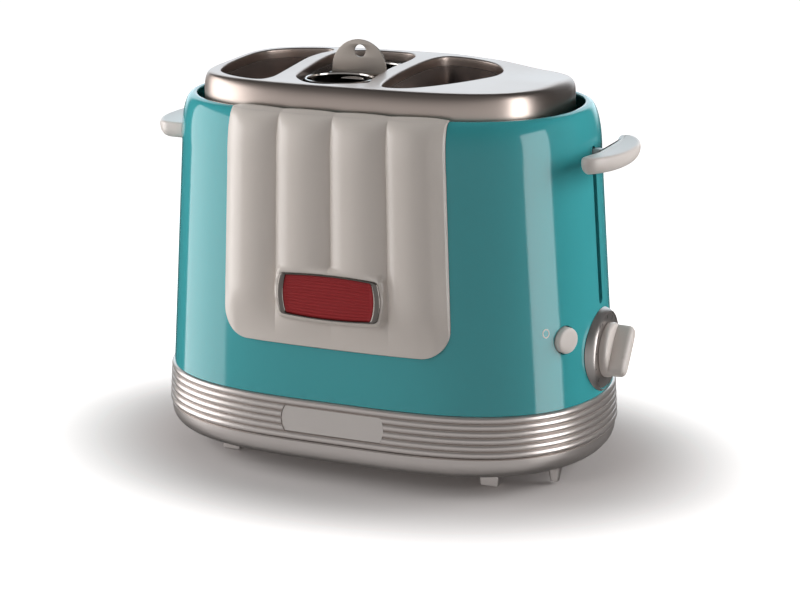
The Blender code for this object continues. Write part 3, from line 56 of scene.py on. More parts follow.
# Body outline, and half length, half width and height of the shell's rows
END_POWER = 3.4
SIDE_POWER = 2.1
OUTLINE_POINTS = 144
SHELL_FOOT = (0.1349, 0.0844, 0.0488)
SHELL_SHOULDER = (0.125, 0.0825, 0.184)
SHELL_RIM = (0.1183, 0.0742, 0.212)
SHELL_WALL = 0.0025
SHELL_LEAN = ((0.0488, 0.0), (0.184, -0.0005), (0.212, -0.0012))
SEAM = 0.0003
LEVER_SLOT = ((0.11, -0.003, 0.1003), (0.14, 0.003, 0.1914))

# Steel top; its shoulder's reach out along both half axes and down
COVER_TOP = 0.2262
COVER_FOOT = 0.204
COVER_SHIFT = -0.0011
COVER_FLAT = (0.1004, 0.0615)
COVER_SHOULDER = (0.0071, 0.0065, 0.0142)
COVER_END_POWER = 3.4
COVER_SIDE_POWER = 2.85
COVER_FLAT_POWER = 4
SHEET = 0.0008
RIM_ROLL = 0.0012
FLAT_SPACING = 0.0042
FLAT_CLEARANCE = 0.0025
MOUTH_CLEARANCE = 0.0022

# Mouths in the steel top, through points in millimetres
MOUTH_POINTS = 120
LEFT_OPENING = (
    (-54.5, -42), (-57.4, -24), (-60, -3), (-61.8, 17), (-60.8, 32), (-58.4, 42), (-58.6, 48), (-63, 50.6), (-70, 50),
    (-81, 45.5), (-88, 40), (-94.5, 31.5), (-98.2, 20), (-99, 8), (-98.9, -8), (-97.6, -20), (-94.6, -31),
    (-88.5, -41), (-78, -50), (-66.5, -55.6), (-59.5, -57), (-56, -55.4), (-54.5, -50))
BASKET_OPENING = (
    (4.2, -42.4), (1.4, -30), (-0.6, -17), (-1.8, 0), (-1.5, 10), (-0.4, 24), (-1.2, 36), (-3.8, 46), (-9.9, 52.6),
    (-20, 54.6), (-32, 54.4), (-43, 51), (-49.6, 44), (-52.4, 33.5), (-52, 15), (-49.3, -8), (-46.3, -26),
    (-43.5, -36), (-37.8, -45), (-29.5, -54), (-21.6, -57.6), (-14.5, -57), (-3.1, -51), (2.8, -46))
RIGHT_OPENING = (
    (60.4, 19), (56.5, 35), (49.5, 45.5), (39.5, 51.6), (27.8, 53.6), (17, 51.6), (11.6, 43.7), (9.3, 28.5),
    (8.7, 9.1), (8.9, -10.8), (10.2, -26), (12.4, -38.6), (15.6, -49), (19.6, -54.4), (25.2, -55.4), (34, -51.2),
    (44.5, -37), (54.2, -17.5), (60.6, 2))

# Bays under the mouths: inner and outer end along the length
BAY_HALF_Y = 0.0552
BAY_FLAT_DEPTH = 0.005
LEFT_BAY = (-0.059, -0.0975)
RIGHT_BAY = (0.0098, 0.0622)
BASKET_BAY = (-0.0485, 0.0003)
SLEEVE_SKINS = (0.0007, 0.0015)
SLEEVE_FOOT = 0.0475
WINDOW_FOOT = SLEEVE_FOOT + 0.03
WINDOW_TOP = 0.185
WINDOW_HALF = 0.0045
TONGUE_TOP = 0.153
TONGUE_HALF = 0.005
SLEEVE_HEIGHTS = (SLEEVE_FOOT, 0.193, 0.197, 0.201, 0.205, 0.209, 0.213, 0.217, 0.2202, 0.2206)

# Fluted panel and badge
PANEL_FOOT = 0.0806
PANEL_HALF_FOOT = 0.0705
PANEL_HALF_TOP = 0.0654
PANEL_CORNER = 0.017
PANEL_STEP = 0.0015
PANEL_EDGE = 0.0009
FLUTES = 4
FLUTE_DEPTH = 0.0049
BADGE_X = 0.0005
BADGE_Z = 0.1121
BADGE_HALF = (0.0317, 0.0131)
BADGE_FRAME = (0.004, 0.0011)
BADGE_BOW = (0.065, 0.1)
BADGE_RIBS = 13
RIB_HEIGHT = 0.00027
RIB_END = 0.955
RIM_LINE = 0.965

# Band, nameplate and pan
BAND_FOOT = 0.0246
BAND_TOP = 0.0485
BAND_HALF = (0.1365, 0.0858)
BAND_FLARE = 0.0014
BAND_WALL = 0.0042
ROLLS = 6
ROLL_DEPTH = 0.00155
PLATE_HALF_LENGTH = 0.0318
PLATE_FOOT = 0.02925
PLATE_TOP = 0.04385
PLATE_BOW = 0.0022
PAN_HALF = (0.1366, 0.0871)
PAN_TOP = 0.0243
PAN_TURN_IN = 0.0186
PAN_HEIGHT = 0.0145
PAN_ROUND = 2 / 2.7
SCREW_PLACES = [(x, y) for x in (-0.09858, 0.09858) for y in (-0.0396, 0.0396)]
SCREW_Z = 0.0101
FOOT_TOP = 0.0104
FOOT_SHIFT = (0.0022, 0.0015)
FOOT_NARROWING = (0.0009, 0.0008)
POST_X = 0.1165
POST_Y = 0.0335
DOOR_PULL = ((-0.046, 0.0845, 0.0305), (-0.002, 0.0895, 0.0335))

# Lever, grip, timer and button
LEVER_Z = 0.187
GRIP_LIFT = 0.0015
STEM_COLLAR = ((0.1319, -0.0042, LEVER_Z - 0.0028), (0.138, 0.0042, LEVER_Z + 0.0044))
STEM_POCKET = ((0.12, -0.0026, 0.1827), (0.1398, 0.0026, 0.1913))
LEVER_TIP = (148.1, 0)
LEVER_HALF = ((147.4, 12), (145, 22.5), (141, 31), (136.6, 36.8), (131.8, 38.9), (128.7, 36), (129.4, 29.5),
              (131.4, 21), (132, 10))
GRIP_TIP = (143.2, 0)
GRIP_HALF = ((142.6, 12), (140.4, 22.5), (136.6, 30.8), (131.8, 36.2), (126, 38), (112, 38), (104, 30))
GRIP_ROOT = (104, 0)
SHELF_RIM = ((3.4, 4.7), (2.6, 4.8), (1.8, 4.8), (0.9, 4.6), (0.35, 4), (0.08, 3.2), (0, 2.2), (0.05, 1),
             (0.3, -0.6), (0.8, -2), (1.7, -3.3), (2.6, -4.2), (3.4, -4.6))
KNOB_Z = 0.0732
KNOB_REACH = 0.1495
KNOB_TURN = math.radians(-38)
SHAFT_HOLE = 0.004
DIAL_Z = 0.0725
DIAL_BACK = 0.124
DIAL_MARKS = 11
DIAL_START = 135
DIAL_STEP = 27
BUTTON_PLACE = Vector((0.123226, -0.0398, 0.088))
BUTTON_OUTWARD = Vector((0.8924, -0.45125, 0))
BUTTON_HOLE = 0.0082
OFF_RING_PLACE = (-0.0512, 0.0939)
OFF_RING_SHARE = 0.66

# Basket
BASKET_X = -0.0222
RING_Y = 0.0225
RING_RADIUS = 0.02
RING_TOP = 0.2242
CAGE_FOOT = 0.076
CAGE_TOP = 0.2139
TAB_X = -0.0199
TAB_RADIUS = 0.0169
TAB_RISE = 0.017
TAB_HOLE = 0.0039
BRIDGE_HALF = (0.0165, 0.014)
BASKET_EARS = ((-0.0478, -0.004, 0.2198), (-0.0024, 0.004, 0.221))
CAGE_SLOT = (0.03, 0.004, 0.012)

# Camera, and the half length and half width of the ellipse round the object where the floor's painted white glow is
# held back, which paints the floor darker there as shade
CAMERA_PLACE = Vector((0.47878, -1.11376, 0.41926))
CAMERA_AIM = Vector((0.00489, 0.0021, 0.08812))
CAMERA_LENS = 94.59
SENSOR_WIDTH = 36
PAINTED_SHADOW_HALF = (0.165, 0.125)

# Lamps: azimuth from straight in front to the right, elevation, distance, share of the light, size
LAMP_AIM = Vector((0, 0, 0.12))
SIDE_LAMPS = (
    ("key_lamp", -25, 25, 1.1, 0.23, 0.7),
    ("left_lamp", -78, 15, 1.1, 0.68, 0.7),
    ("right_lamp", 115, 15, 1.1, 0.84, 0.7),
    ("overhead_lamp", 0, 86, 1.2, 0.04, 1.0))

# Boxes that the gloss mirrors: place, width, height, radiance
MIRROR_BOXES = (
    ("right_soft_box", (0.985, -0.115, 0.185), 0.49, 0.87, 3.8),
    ("left_soft_box", (-0.95, -0.235, 0.185), 0.85, 0.87, 2.4))


# ---- Modelling tools ----

def deselect():
    if bpy.context.object and bpy.context.object.mode != "OBJECT":
        bpy.ops.object.mode_set(mode="OBJECT")
    bpy.ops.object.select_all(action="DESELECT")


def pick(piece):
    deselect()
    piece.select_set(True)
    bpy.context.view_layer.objects.active = piece


def edit(piece):
    pick(piece)
    bpy.ops.object.mode_set(mode="EDIT")
    bpy.ops.mesh.select_all(action="SELECT")


def named(name):
    """The primitive that was just added, under its own name, with its place in its mesh."""
    piece = bpy.context.object
    piece.name = piece.data.name = name
    bpy.ops.object.transform_apply(location=True, rotation=True, scale=True)
    return piece


def moved(piece, place, turn=Matrix.Identity(4)):
    """The piece with its mesh turned and then moved."""
    piece.data.transform(Matrix.Translation(place) @ turn)
    return piece


def cube(name, low, high):
    deselect()
    middle = [(a + b) / 2 for a, b in zip(low, high)]
    bpy.ops.mesh.primitive_cube_add(size=1, location=middle, scale=[b - a for a, b in zip(low, high)])
    return named(name)


def round_bar(name, start, end, radius, sides=64):
    deselect()
    start = Vector(start)
    axis = Vector(end) - start
    bpy.ops.mesh.primitive_cone_add(vertices=sides, radius1=radius, radius2=radius, depth=axis.length,
                                    location=start + axis / 2, rotation=axis.to_track_quat("Z", "Y").to_euler())
    return named(name)


def ring(name, outline):
    """A circle of edges moved onto an outline."""
    deselect()
    bpy.ops.mesh.primitive_circle_add(vertices=len(outline), radius=1)
    piece = named(name)
    for vertex, place in zip(piece.data.vertices, outline):
        vertex.co = place
    return piece


def grow(piece, rows):
    """Extrudes a ring of edges through rows of half length, half width and height."""
    edit(piece)
    for (x, y, z), (next_x, next_y, next_z) in zip(rows, rows[1:]):
        bpy.ops.mesh.extrude_region_move(TRANSFORM_OT_translate={"value": (0, 0, next_z - z)})
        bpy.ops.transform.resize(value=(next_x / x, next_y / y, 1), center_override=(0, 0, next_z))
    bpy.ops.object.mode_set(mode="OBJECT")
    return piece


def close_ends(piece, bridge):
    """Fills the two open ends, or joins them to each other, and turns all the faces out."""
    edit(piece)
    bpy.ops.mesh.select_all(action="DESELECT")
    bpy.ops.mesh.select_mode(type="EDGE")
    bpy.ops.mesh.select_non_manifold(extend=False, use_wire=False, use_multi_face=False, use_verts=False)
    if bridge:
        bpy.ops.mesh.bridge_edge_loops()
    else:
        bpy.ops.mesh.edge_face_add()
    bpy.ops.mesh.select_all(action="SELECT")
    bpy.ops.mesh.normals_make_consistent(inside=False)
    bpy.ops.mesh.select_mode(type="VERT")
    bpy.ops.object.mode_set(mode="OBJECT")
    return piece


def stacked(name, rows, bridge=False, powers=()):
    """A solid through rows of half length, half width and height, or a wall that runs back to its start."""
    outline = [(x, y, rows[0][2]) for x, y in superellipse(*rows[0][:2], *powers)]
    return close_ends(grow(ring(name, outline), rows), bridge)


def apply_modifiers(piece):
    pick(piece)
    for modifier in list(piece.modifiers):
        bpy.ops.object.modifier_apply(modifier=modifier.name)
    return piece


def combine(piece, others, how):
    for other in others:
        change = piece.modifiers.new(how, "BOOLEAN")
        change.operation = how
        change.solver = "EXACT"
        change.object = other
        apply_modifiers(piece)
        bpy.data.objects.remove(other)
    return piece


def cut(piece, *others):
    return combine(piece, others, "DIFFERENCE")


def join(piece, *others):
    return combine(piece, others, "UNION")


def round_edges(piece, width, segments=3):
    bevel = piece.modifiers.new("Bevel", "BEVEL")
    bevel.width = width
    bevel.segments = segments
    bevel.limit_method = "ANGLE"
    bevel.angle_limit = math.radians(35)
    return apply_modifiers(piece)


def thicken(piece, thickness):
    """Gives a sheet its wall, on the inner side."""
    solid = piece.modifiers.new("Solidify", "SOLIDIFY")
    solid.thickness = thickness
    solid.offset = -1
    return apply_modifiers(piece)


def weld(piece, distance=0.00001):
    edit(piece)
    bpy.ops.mesh.remove_doubles(threshold=distance)
    bpy.ops.mesh.normals_make_consistent(inside=False)
    bpy.ops.object.mode_set(mode="OBJECT")
    return piece


def merge_pieces(name, pieces):
    """Several loose shapes of one finish as one object."""
    deselect()
    for piece in pieces:
        piece.select_set(True)
    bpy.context.view_layer.objects.active = pieces[0]
    bpy.ops.object.join()
    pieces[0].name = pieces[0].data.name = name
    return pieces[0]


def in_mm(profile, radius=0.0, height=0.0):
    """A profile that is given in millimetres from a radius and a height."""
    return [(radius + out / 1000, height + up / 1000) for out, up in profile]


def turned(name, profile, centre=(0, 0, 0), axis="Z", steps=96):
    """A profile of radius and height spun about an axis through the centre."""
    piece = ring(name, [(radius, 0, height) for radius, height in profile])
    edit(piece)
    bpy.ops.mesh.spin(steps=steps, angle=math.tau, center=(0, 0, 0), axis=(0, 0, 1))
    weld(piece, 0.000005)
    return moved(piece, centre, Matrix.Rotation(math.pi / 2, 4, "Y") if axis == "X" else Matrix.Identity(4))


def from_shape(name, shape):
    """A new piece that takes the faces of a mesh under work, all of them turned out."""
    deselect()
    bpy.ops.mesh.primitive_plane_add(size=0.01)
    piece = named(name)
    bmesh.ops.recalc_face_normals(shape, faces=shape.faces)
    shape.to_mesh(piece.data)
    shape.free()
    return piece


def span(shape, rings, closed=False):
    """Faces between rings of as many points each, and the rings' vertices."""
    rows = [[shape.verts.new(point) for point in points] for points in rings]
    for first, second in zip(rows, rows[1:] + (rows[:1] if closed else [])):
        for i in range(len(first)):
            j = (i + 1) % len(first)
            shape.faces.new((first[i], first[j], second[j], second[i]))
    return rows


def loft(name, rings, capped=False):
    """A closed piece through rings of points, back to the first one or with a face at both ends."""
    shape = bmesh.new()
    rows = span(shape, rings, closed=not capped)
    if capped:
        shape.faces.new(rows[0])
        shape.faces.new(rows[-1])
    return from_shape(name, shape)


def two_skins(name, skins):
    """A sheet between two grids of points, the outer one first."""
    shape = bmesh.new()
    face, behind = [[[shape.verts.new(point) for point in column] for column in grid] for grid in skins]
    wide, tall = len(face), len(face[0])
    for i in range(wide - 1):
        for k in range(tall - 1):
            shape.faces.new((face[i][k], face[i + 1][k], face[i + 1][k + 1], face[i][k + 1]))
            shape.faces.new((behind[i][k], behind[i][k + 1], behind[i + 1][k + 1], behind[i + 1][k]))
        for k in (0, tall - 1):
            shape.faces.new((face[i][k], behind[i][k], behind[i + 1][k], face[i + 1][k]))
    for i in (0, wide - 1):
        for k in range(tall - 1):
            shape.faces.new((face[i][k], face[i][k + 1], behind[i][k + 1], behind[i][k]))
    return from_shape(name, shape)


def settle(piece, material, body="housing", stands_for=(), angle=32):
    """Finishes a piece: its shading, its finish, its place, and the body that carries it."""
    moved(piece, MIDDLE)
    piece.data.materials.clear()
    piece.data.materials.append(material)
    pick(piece)
    bpy.ops.object.shade_smooth_by_angle(angle=math.radians(angle))
    deselect()
    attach(piece, body)
    if stands_for:
        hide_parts(*stands_for)
    return piece


# ---- Outlines and surfaces ----

def signed_power(value, power):
    return math.copysign(abs(value) ** power, value)


def ease(share):
    share = min(1.0, max(0.0, share))
    return share * share * (3 - 2 * share)


def quarter(steps, first=0):
    """Cosine and sine at even steps through a quarter turn."""
    angles = [math.pi / 2 * step / steps for step in range(first, steps + 1)]
    return [(math.cos(angle), math.sin(angle)) for angle in angles]


def superellipse(half_x, half_y, end_power=END_POWER, side_power=SIDE_POWER, count=OUTLINE_POINTS):
    points = []
    for i in range(count):
        angle = math.tau * i / count
        points.append((half_x * signed_power(math.cos(angle), 2 / end_power),
                       half_y * signed_power(math.sin(angle), 2 / side_power)))
    return points


def body_line(x, half_x, half_y):
    """How far the body's side stands from the middle, at a place along its length."""
    return half_y * (1 - abs(x / half_x) ** END_POWER) ** (1 / SIDE_POWER)


def end_line(y, half_x, half_y):
    """How far the body's end stands from the middle, at a place across its width."""
    return half_x * (1 - abs(y / half_y) ** SIDE_POWER) ** (1 / END_POWER)


def shell_at(height):
    """Half length and half width of the shell's outside at a height."""
    if height <= SHELL_SHOULDER[2]:
        share = (height - SHELL_FOOT[2]) / (SHELL_SHOULDER[2] - SHELL_FOOT[2])
        return tuple(a + share * (b - a) for a, b in zip(SHELL_FOOT[:2], SHELL_SHOULDER[:2]))
    up = min(1.0, (height - SHELL_SHOULDER[2]) / (SHELL_RIM[2] - SHELL_SHOULDER[2]))
    out = math.sqrt(max(0.0, 1 - up * up))
    return tuple(b + out * (a - b) for a, b in zip(SHELL_SHOULDER[:2], SHELL_RIM[:2]))


def shell_rows(steps=14):
    heights = [SHELL_FOOT[2], 0.075, 0.105, 0.135, 0.16]
    heights += [SHELL_SHOULDER[2] + (SHELL_RIM[2] - SHELL_SHOULDER[2]) * sine for _, sine in quarter(steps)]
    return [(*shell_at(z), z) for z in heights]


def lean_at(height):
    for (low, start), (high, end) in zip(SHELL_LEAN, SHELL_LEAN[1:]):
        if height <= high:
            return start + (end - start) * max(0.0, (height - low) / (high - low))
    return SHELL_LEAN[-1][1]


def leaned(piece):
    """The upper body leans a little to the left, as seen from the front."""
    for vertex in piece.data.vertices:
        vertex.co.x += lean_at(vertex.co.z)
    return piece


def shell_cutter():
    """A solid as large as the shell's outside, to fit what sits on it."""
    return leaned(stacked("shell_outside", [(x + SEAM, y + SEAM, z) for x, y, z in shell_rows()]))


def even_loop(points, count):
    """The same closed line as evenly spaced points, counter-clockwise from straight right of its middle."""
    middle_x = sum(x for x, _ in points) / len(points)
    middle_y = sum(y for _, y in points) / len(points)
    if sum(ax * by - bx * ay for (ax, ay), (bx, by) in zip(points, points[1:] + points[:1])) < 0:
        points = points[::-1]
    start = min(range(len(points)), key=lambda i: abs(math.atan2(points[i][1] - middle_y, points[i][0] - middle_x)))
    points = points[start:] + points[:start + 1]
    lengths = [0.0]
    for (ax, ay), (bx, by) in zip(points, points[1:]):
        lengths.append(lengths[-1] + math.hypot(bx - ax, by - ay))
    even = []
    k = 0
    for i in range(count):
        target = lengths[-1] * i / count
        while lengths[k + 1] < target:
            k += 1
        share = (target - lengths[k]) / max(lengths[k + 1] - lengths[k], 1e-9)
        (ax, ay), (bx, by) = points[k], points[k + 1]
        even.append((ax + share * (bx - ax), ay + share * (by - ay)))
    return even


def smooth_loop(knots, count=MOUTH_POINTS):
    """A smooth closed line through points given in millimetres."""
    line = []
    total = len(knots)
    for i in range(total):
        before, start, end, after = (Vector(knots[(i + step) % total]) / 1000 for step in (-1, 0, 1, 2))
        for step in range(16):
            t = step / 16
            place = 0.5 * (2 * start + (end - before) * t + (2 * before - 5 * start + 4 * end - after) * t * t
                           + (3 * start - before - 3 * end + after) * t ** 3)
            line.append((place.x, place.y))
    return even_loop(line, count)


def moved_out(points, distances):
    """A closed counter-clockwise line moved out by a distance for each point, or by one for all."""
    line = []
    total = len(points)
    if not isinstance(distances, list):
        distances = [distances] * total
    for i, ((x, y), far) in enumerate(zip(points, distances)):
        (ax, ay), (bx, by) = points[i - 1], points[(i + 1) % total]
        length = math.hypot(bx - ax, by - ay)
        line.append((x + far * (by - ay) / length, y - far * (bx - ax) / length))
    return line


def bay_outline(inner_x, outer_x):
    """A bun bay below the top: one flat side with rounded ends and one round side."""
    sign = 1 if outer_x > inner_x else -1
    line = inner_x + sign * BAY_FLAT_DEPTH
    points = []
    for i in range(600):
        angle = math.tau * i / 600
        out = math.cos(angle)
        depth, power = (abs(outer_x - line), 2) if out >= 0 else (BAY_FLAT_DEPTH, 5)
        x = depth * signed_power(out, 2 / power)
        points.append((line + sign * x, BAY_HALF_Y * signed_power(math.sin(angle), 2 / power)))
    return even_loop(points, MOUTH_POINTS)


def basket_outline():
    left, right = BASKET_BAY
    flat = superellipse((right - left) / 2, BAY_HALF_Y, 3.2, 3.2, 600)
    return even_loop([((left + right) / 2 + x, y) for x, y in flat], MOUTH_POINTS)


def inside(point, outline):
    x, y = point
    within = False
    for (ax, ay), (bx, by) in zip(outline, outline[1:] + outline[:1]):
        if (ay > y) != (by > y) and x < (bx - ax) * (y - ay) / (by - ay) + ax:
            within = not within
    return within


def nearest(point, outline):
    return min(math.hypot(point[0] - x, point[1] - y) for x, y in outline)


def top_lift(x, y):
    """The steel top rises a little to the back round the mouths and falls at the far right."""
    rise = 0.0023 * ease((y + 0.035) / 0.08) * ease((0.057 - x) / 0.05)
    return rise - 0.0028 * ease((y + 0.01) / 0.06) * ease((x - 0.042) / 0.035)


# ---- Finishes ----

def node_group(name, inputs, outputs):
    """An empty effect, with a socket for each number, for each vector of three and for each colour of four."""
    group = bpy.data.node_groups.new(name, "ShaderNodeTree")
    for label, value in inputs.items():
        kind = "Float" if isinstance(value, float) else {3: "Vector", 4: "Color"}[len(value)]
        group.interface.new_socket(label, in_out="INPUT", socket_type="NodeSocket" + kind).default_value = value
    for label, kind in outputs.items():
        group.interface.new_socket(label, in_out="OUTPUT", socket_type="NodeSocket" + kind)
    return group, group.nodes.new("NodeGroupInput").outputs, group.nodes.new("NodeGroupOutput").inputs


def add_node(tree, kind, sockets=None, **settings):
    node = tree.nodes.new(kind)
    for key, value in settings.items():
        setattr(node, key, value)
    for key, value in (sockets or {}).items():
        socket = node.inputs[key]
        if isinstance(value, bpy.types.NodeSocket):
            tree.links.new(value, socket)
        else:
            socket.default_value = value
    return node


def calculate(tree, operation, *values):
    return add_node(tree, "ShaderNodeMath", dict(enumerate(values)), operation=operation).outputs[0]


def grouped(tree, group, **sockets):
    return add_node(tree, "ShaderNodeGroup", sockets, node_tree=group).outputs


def object_place(tree):
    return add_node(tree, "ShaderNodeTexCoord").outputs["Object"]


def noise(tree, place, scale, detail):
    return add_node(tree, "ShaderNodeTexNoise", {"Vector": place, "Scale": scale, "Detail": detail}).outputs[0]


def make_smudges():
    """Roughness with the soft patches that hands and cloths leave."""
    group, given, result = node_group("hand_smudges", {"Roughness": 0.2, "Amount": 0.05, "Scale": 18.0},
                                      {"Roughness": "Float"})
    place = object_place(group)
    broad = noise(group, place, given["Scale"], 3.0)
    both = calculate(group, "MULTIPLY_ADD", noise(group, place, 160.0, 2.0), 0.35, broad)
    centred = calculate(group, "SUBTRACT", both, 0.67)
    spread = calculate(group, "MULTIPLY_ADD", centred, given["Amount"], given["Roughness"])
    group.links.new(calculate(group, "MAXIMUM", spread, 0.02), result[0])
    return group


def make_moulding():
    """The faint ripple and the fine peel of a moulded or painted skin."""
    group, given, result = node_group("moulded_skin", {"Ripple": 0.5, "Peel": 0.2}, {"Height": "Float"})
    place = object_place(group)
    low = calculate(group, "MULTIPLY", noise(group, place, 14.0, 1.0), given["Ripple"])
    peel = noise(group, place, 900.0, 1.0)
    group.links.new(calculate(group, "MULTIPLY_ADD", peel, given["Peel"], low), result[0])
    return group


def make_colour_drift():
    """A colour that drifts a little over the piece, as pigment and light do."""
    group, given, result = node_group("colour_drift", {"Colour": (0.5, 0.5, 0.5, 1), "Drift": 0.05, "Scale": 9.0},
                                      {"Colour": "Color"})
    centred = calculate(group, "SUBTRACT", noise(group, object_place(group), given["Scale"], 2.0), 0.5)
    factor = calculate(group, "MULTIPLY_ADD", centred, given["Drift"], 1.0)
    scaled = add_node(group, "ShaderNodeVectorMath", {0: given["Colour"], 3: factor}, operation="SCALE")
    group.links.new(scaled.outputs[0], result[0])
    return group


def make_brushing():
    """Lines of a brushed or rolled metal, along the way that is stretched least."""
    group, given, result = node_group("brushed_lines", {"Stretch": (6, 6, 1500), "Depth": 1.0},
                                      {"Height": "Float", "Streak": "Float"})
    sockets = {0: object_place(group), 1: given["Stretch"]}
    along = add_node(group, "ShaderNodeVectorMath", sockets, operation="MULTIPLY")
    lines = noise(group, along.outputs[0], 1.0, 3.0)
    group.links.new(calculate(group, "MULTIPLY", lines, given["Depth"]), result[0])
    group.links.new(lines, result[1])
    return group


def make_heat_tint():
    """Straw and brown tints where bare steel stands in the heat."""
    group, given, result = node_group("heat_tint", {
        "Colour": (0.6, 0.58, 0.56, 1), "Tint": (0.4, 0.28, 0.16, 1), "Top": 0.21, "Amount": 0.6,
    }, {"Colour": "Color"})
    place = object_place(group)
    height = add_node(group, "ShaderNodeSeparateXYZ", {0: place}).outputs["Z"]
    drop = calculate(group, "SUBTRACT", given["Top"], height)
    share = add_node(group, "ShaderNodeMapRange", {0: drop, 1: 0.0, 2: 0.07, 3: 0.0, 4: 1.0}).outputs[0]
    patchy = calculate(group, "MULTIPLY", share, noise(group, place, 30.0, 3.0))
    amount = calculate(group, "MINIMUM", calculate(group, "MULTIPLY", patchy, given["Amount"]), 1.0)
    mix = add_node(group, "ShaderNodeMix", {0: amount, 6: given["Colour"], 7: given["Tint"]}, data_type="RGBA")
    group.links.new(mix.outputs[2], result[0])
    return group


SMUDGES = make_smudges()
MOULDING = make_moulding()
COLOUR_DRIFT = make_colour_drift()
BRUSHING = make_brushing()
HEAT_TINT = make_heat_tint()


def new_finish(name):
    material = bpy.data.materials.new(name)
    material.use_nodes = True
    tree = material.node_tree
    return material, tree, tree.nodes["Principled BSDF"]


def feed(tree, shader, colour, roughness, height, strength, distance):
    """Links a finish's colour, roughness and relief to its shader."""
    bump = add_node(tree, "ShaderNodeBump", {"Height": height, "Strength": strength, "Distance": distance})
    for socket, value in (("Base Color", colour), ("Roughness", roughness), ("Normal", bump.outputs[0])):
        tree.links.new(value, shader.inputs[socket])


def plastic(name, colour, roughness, smudge=0.08, drift=0.05, ripple=0.35, peel=0.03, coat=0.0):
    material, tree, shader = new_finish(name)
    drifted = grouped(tree, COLOUR_DRIFT, Colour=(*colour, 1), Drift=drift)[0]
    smudged = grouped(tree, SMUDGES, Roughness=roughness, Amount=smudge)[0]
    skin = grouped(tree, MOULDING, Ripple=ripple, Peel=peel)[0]
    feed(tree, shader, drifted, smudged, skin, strength=0.4, distance=0.0006)
    shader.inputs["Coat Weight"].default_value = coat
    shader.inputs["Coat Roughness"].default_value = 0.05
    return material


def metal(name, colour, roughness, stretch=(8, 8, 1500), lines=0.5, smudge=0.1, drift=0.08, metallic=1.0,
          tint=None, spread=0.0):
    material, tree, shader = new_finish(name)
    coloured = grouped(tree, COLOUR_DRIFT, Colour=(*colour, 1), Drift=drift)[0]
    if tint is not None:
        coloured = grouped(tree, HEAT_TINT, Colour=coloured, Tint=(*tint, 1), Amount=0.5)[0]
    relief, streak = grouped(tree, BRUSHING, Stretch=stretch)
    smudged = grouped(tree, SMUDGES, Roughness=roughness, Amount=smudge)[0]
    streaked = calculate(tree, "MULTIPLY_ADD", calculate(tree, "SUBTRACT", streak, 0.5), spread, smudged)
    feed(tree, shader, coloured, streaked, relief, strength=lines, distance=0.00006)
    shader.inputs["Metallic"].default_value = metallic
    return material


EVEN = {"stretch": (30, 30, 30), "lines": 0.1}
UPRIGHT = {"stretch": (700, 700, 8)}

TEAL = plastic("teal_gloss", (0.05, 0.37, 0.4), 0.1, smudge=0.03, drift=0.02, ripple=0.03, peel=0.004, coat=0.08)
CREAM = plastic("cream_gloss", (0.69, 0.63, 0.58), 0.24, smudge=0.06, drift=0.02, ripple=0.06, peel=0.008)
CREAM_HANDLE = plastic("cream_handle", (0.72, 0.66, 0.62), 0.3, smudge=0.1, drift=0.03)
RED_ENAMEL = plastic("red_enamel", (0.3, 0.011, 0.014), 0.62, smudge=0.05, drift=0.1, ripple=0.2)
PRINT_CREAM = plastic("cream_print", (0.85, 0.84, 0.78), 0.5, smudge=0.05)
MARK_DARK = plastic("dark_marks", (0.03, 0.03, 0.03), 0.5, smudge=0.05)
MICA = plastic("mica_board", (0.45, 0.37, 0.27), 0.6, smudge=0.2, drift=0.5, ripple=1.0, peel=0.5)
BOARD = plastic("circuit_board", (0.03, 0.16, 0.06), 0.45, smudge=0.1, drift=0.3)
BLACK = plastic("black_plastic", (0.02, 0.02, 0.02), 0.5, smudge=0.1, drift=0.3, peel=0.2)
RUBBER = plastic("black_rubber", (0.02, 0.02, 0.02), 0.75, smudge=0.1, drift=0.3, peel=0.3)
SILVER = metal("satin_silver", (0.69, 0.63, 0.6), 0.31, **EVEN, smudge=0.06, metallic=0.8)
BEZEL_SILVER = metal("bezel_silver", (0.52, 0.48, 0.46), 0.32, **EVEN, smudge=0.05, metallic=0.85)
PLATE_SILVER = metal("plate_silver", (0.66, 0.61, 0.58), 0.4, **EVEN, smudge=0.05, metallic=0.85)
COVER_STEEL = metal("cover_steel", (0.6, 0.505, 0.455), 0.35, (9, 9, 1800), 0.15, smudge=0.06, spread=0.04)
BRIGHT_STEEL = metal("bright_steel", (0.62, 0.58, 0.55), 0.16, **UPRIGHT, lines=0.12, smudge=0.12,
                     tint=(0.36, 0.25, 0.16))
BAY_STEEL = metal("bay_steel", (0.54, 0.47, 0.44), 0.25, **UPRIGHT, lines=0.1, metallic=0.9)
SATIN_TAB = metal("satin_tab", (0.68, 0.61, 0.55), 0.4, (9, 900, 900), 0.25, smudge=0.08)
PLAIN_STEEL = metal("plain_steel", (0.5, 0.49, 0.48), 0.35, (500, 500, 8), 0.2, smudge=0.15)
GREY_STEEL = metal("grey_steel", (0.4, 0.4, 0.4), 0.42, (60, 60, 60), 0.2, smudge=0.15)
DARK_CHROME = metal("dark_chrome", (0.2, 0.18, 0.165), 0.24, (40, 40, 40), 0.05, smudge=0.05)
NICHROME = metal("heating_wire", (0.3, 0.27, 0.25), 0.45, (80, 80, 80), 0.2, drift=0.4)
COPPER = metal("copper_winding", (0.55, 0.24, 0.1), 0.35, (8, 8, 3000), 1.0)


# ---- Base ----

def band_at(z):
    """Half length and half width of the band over its rolls at a height."""
    flare = BAND_FLARE * (BAND_TOP - z) / (BAND_TOP - BAND_FOOT)
    return BAND_HALF[0] + flare, BAND_HALF[1] + flare


def inset(halves, step):
    return [half - step for half in halves]


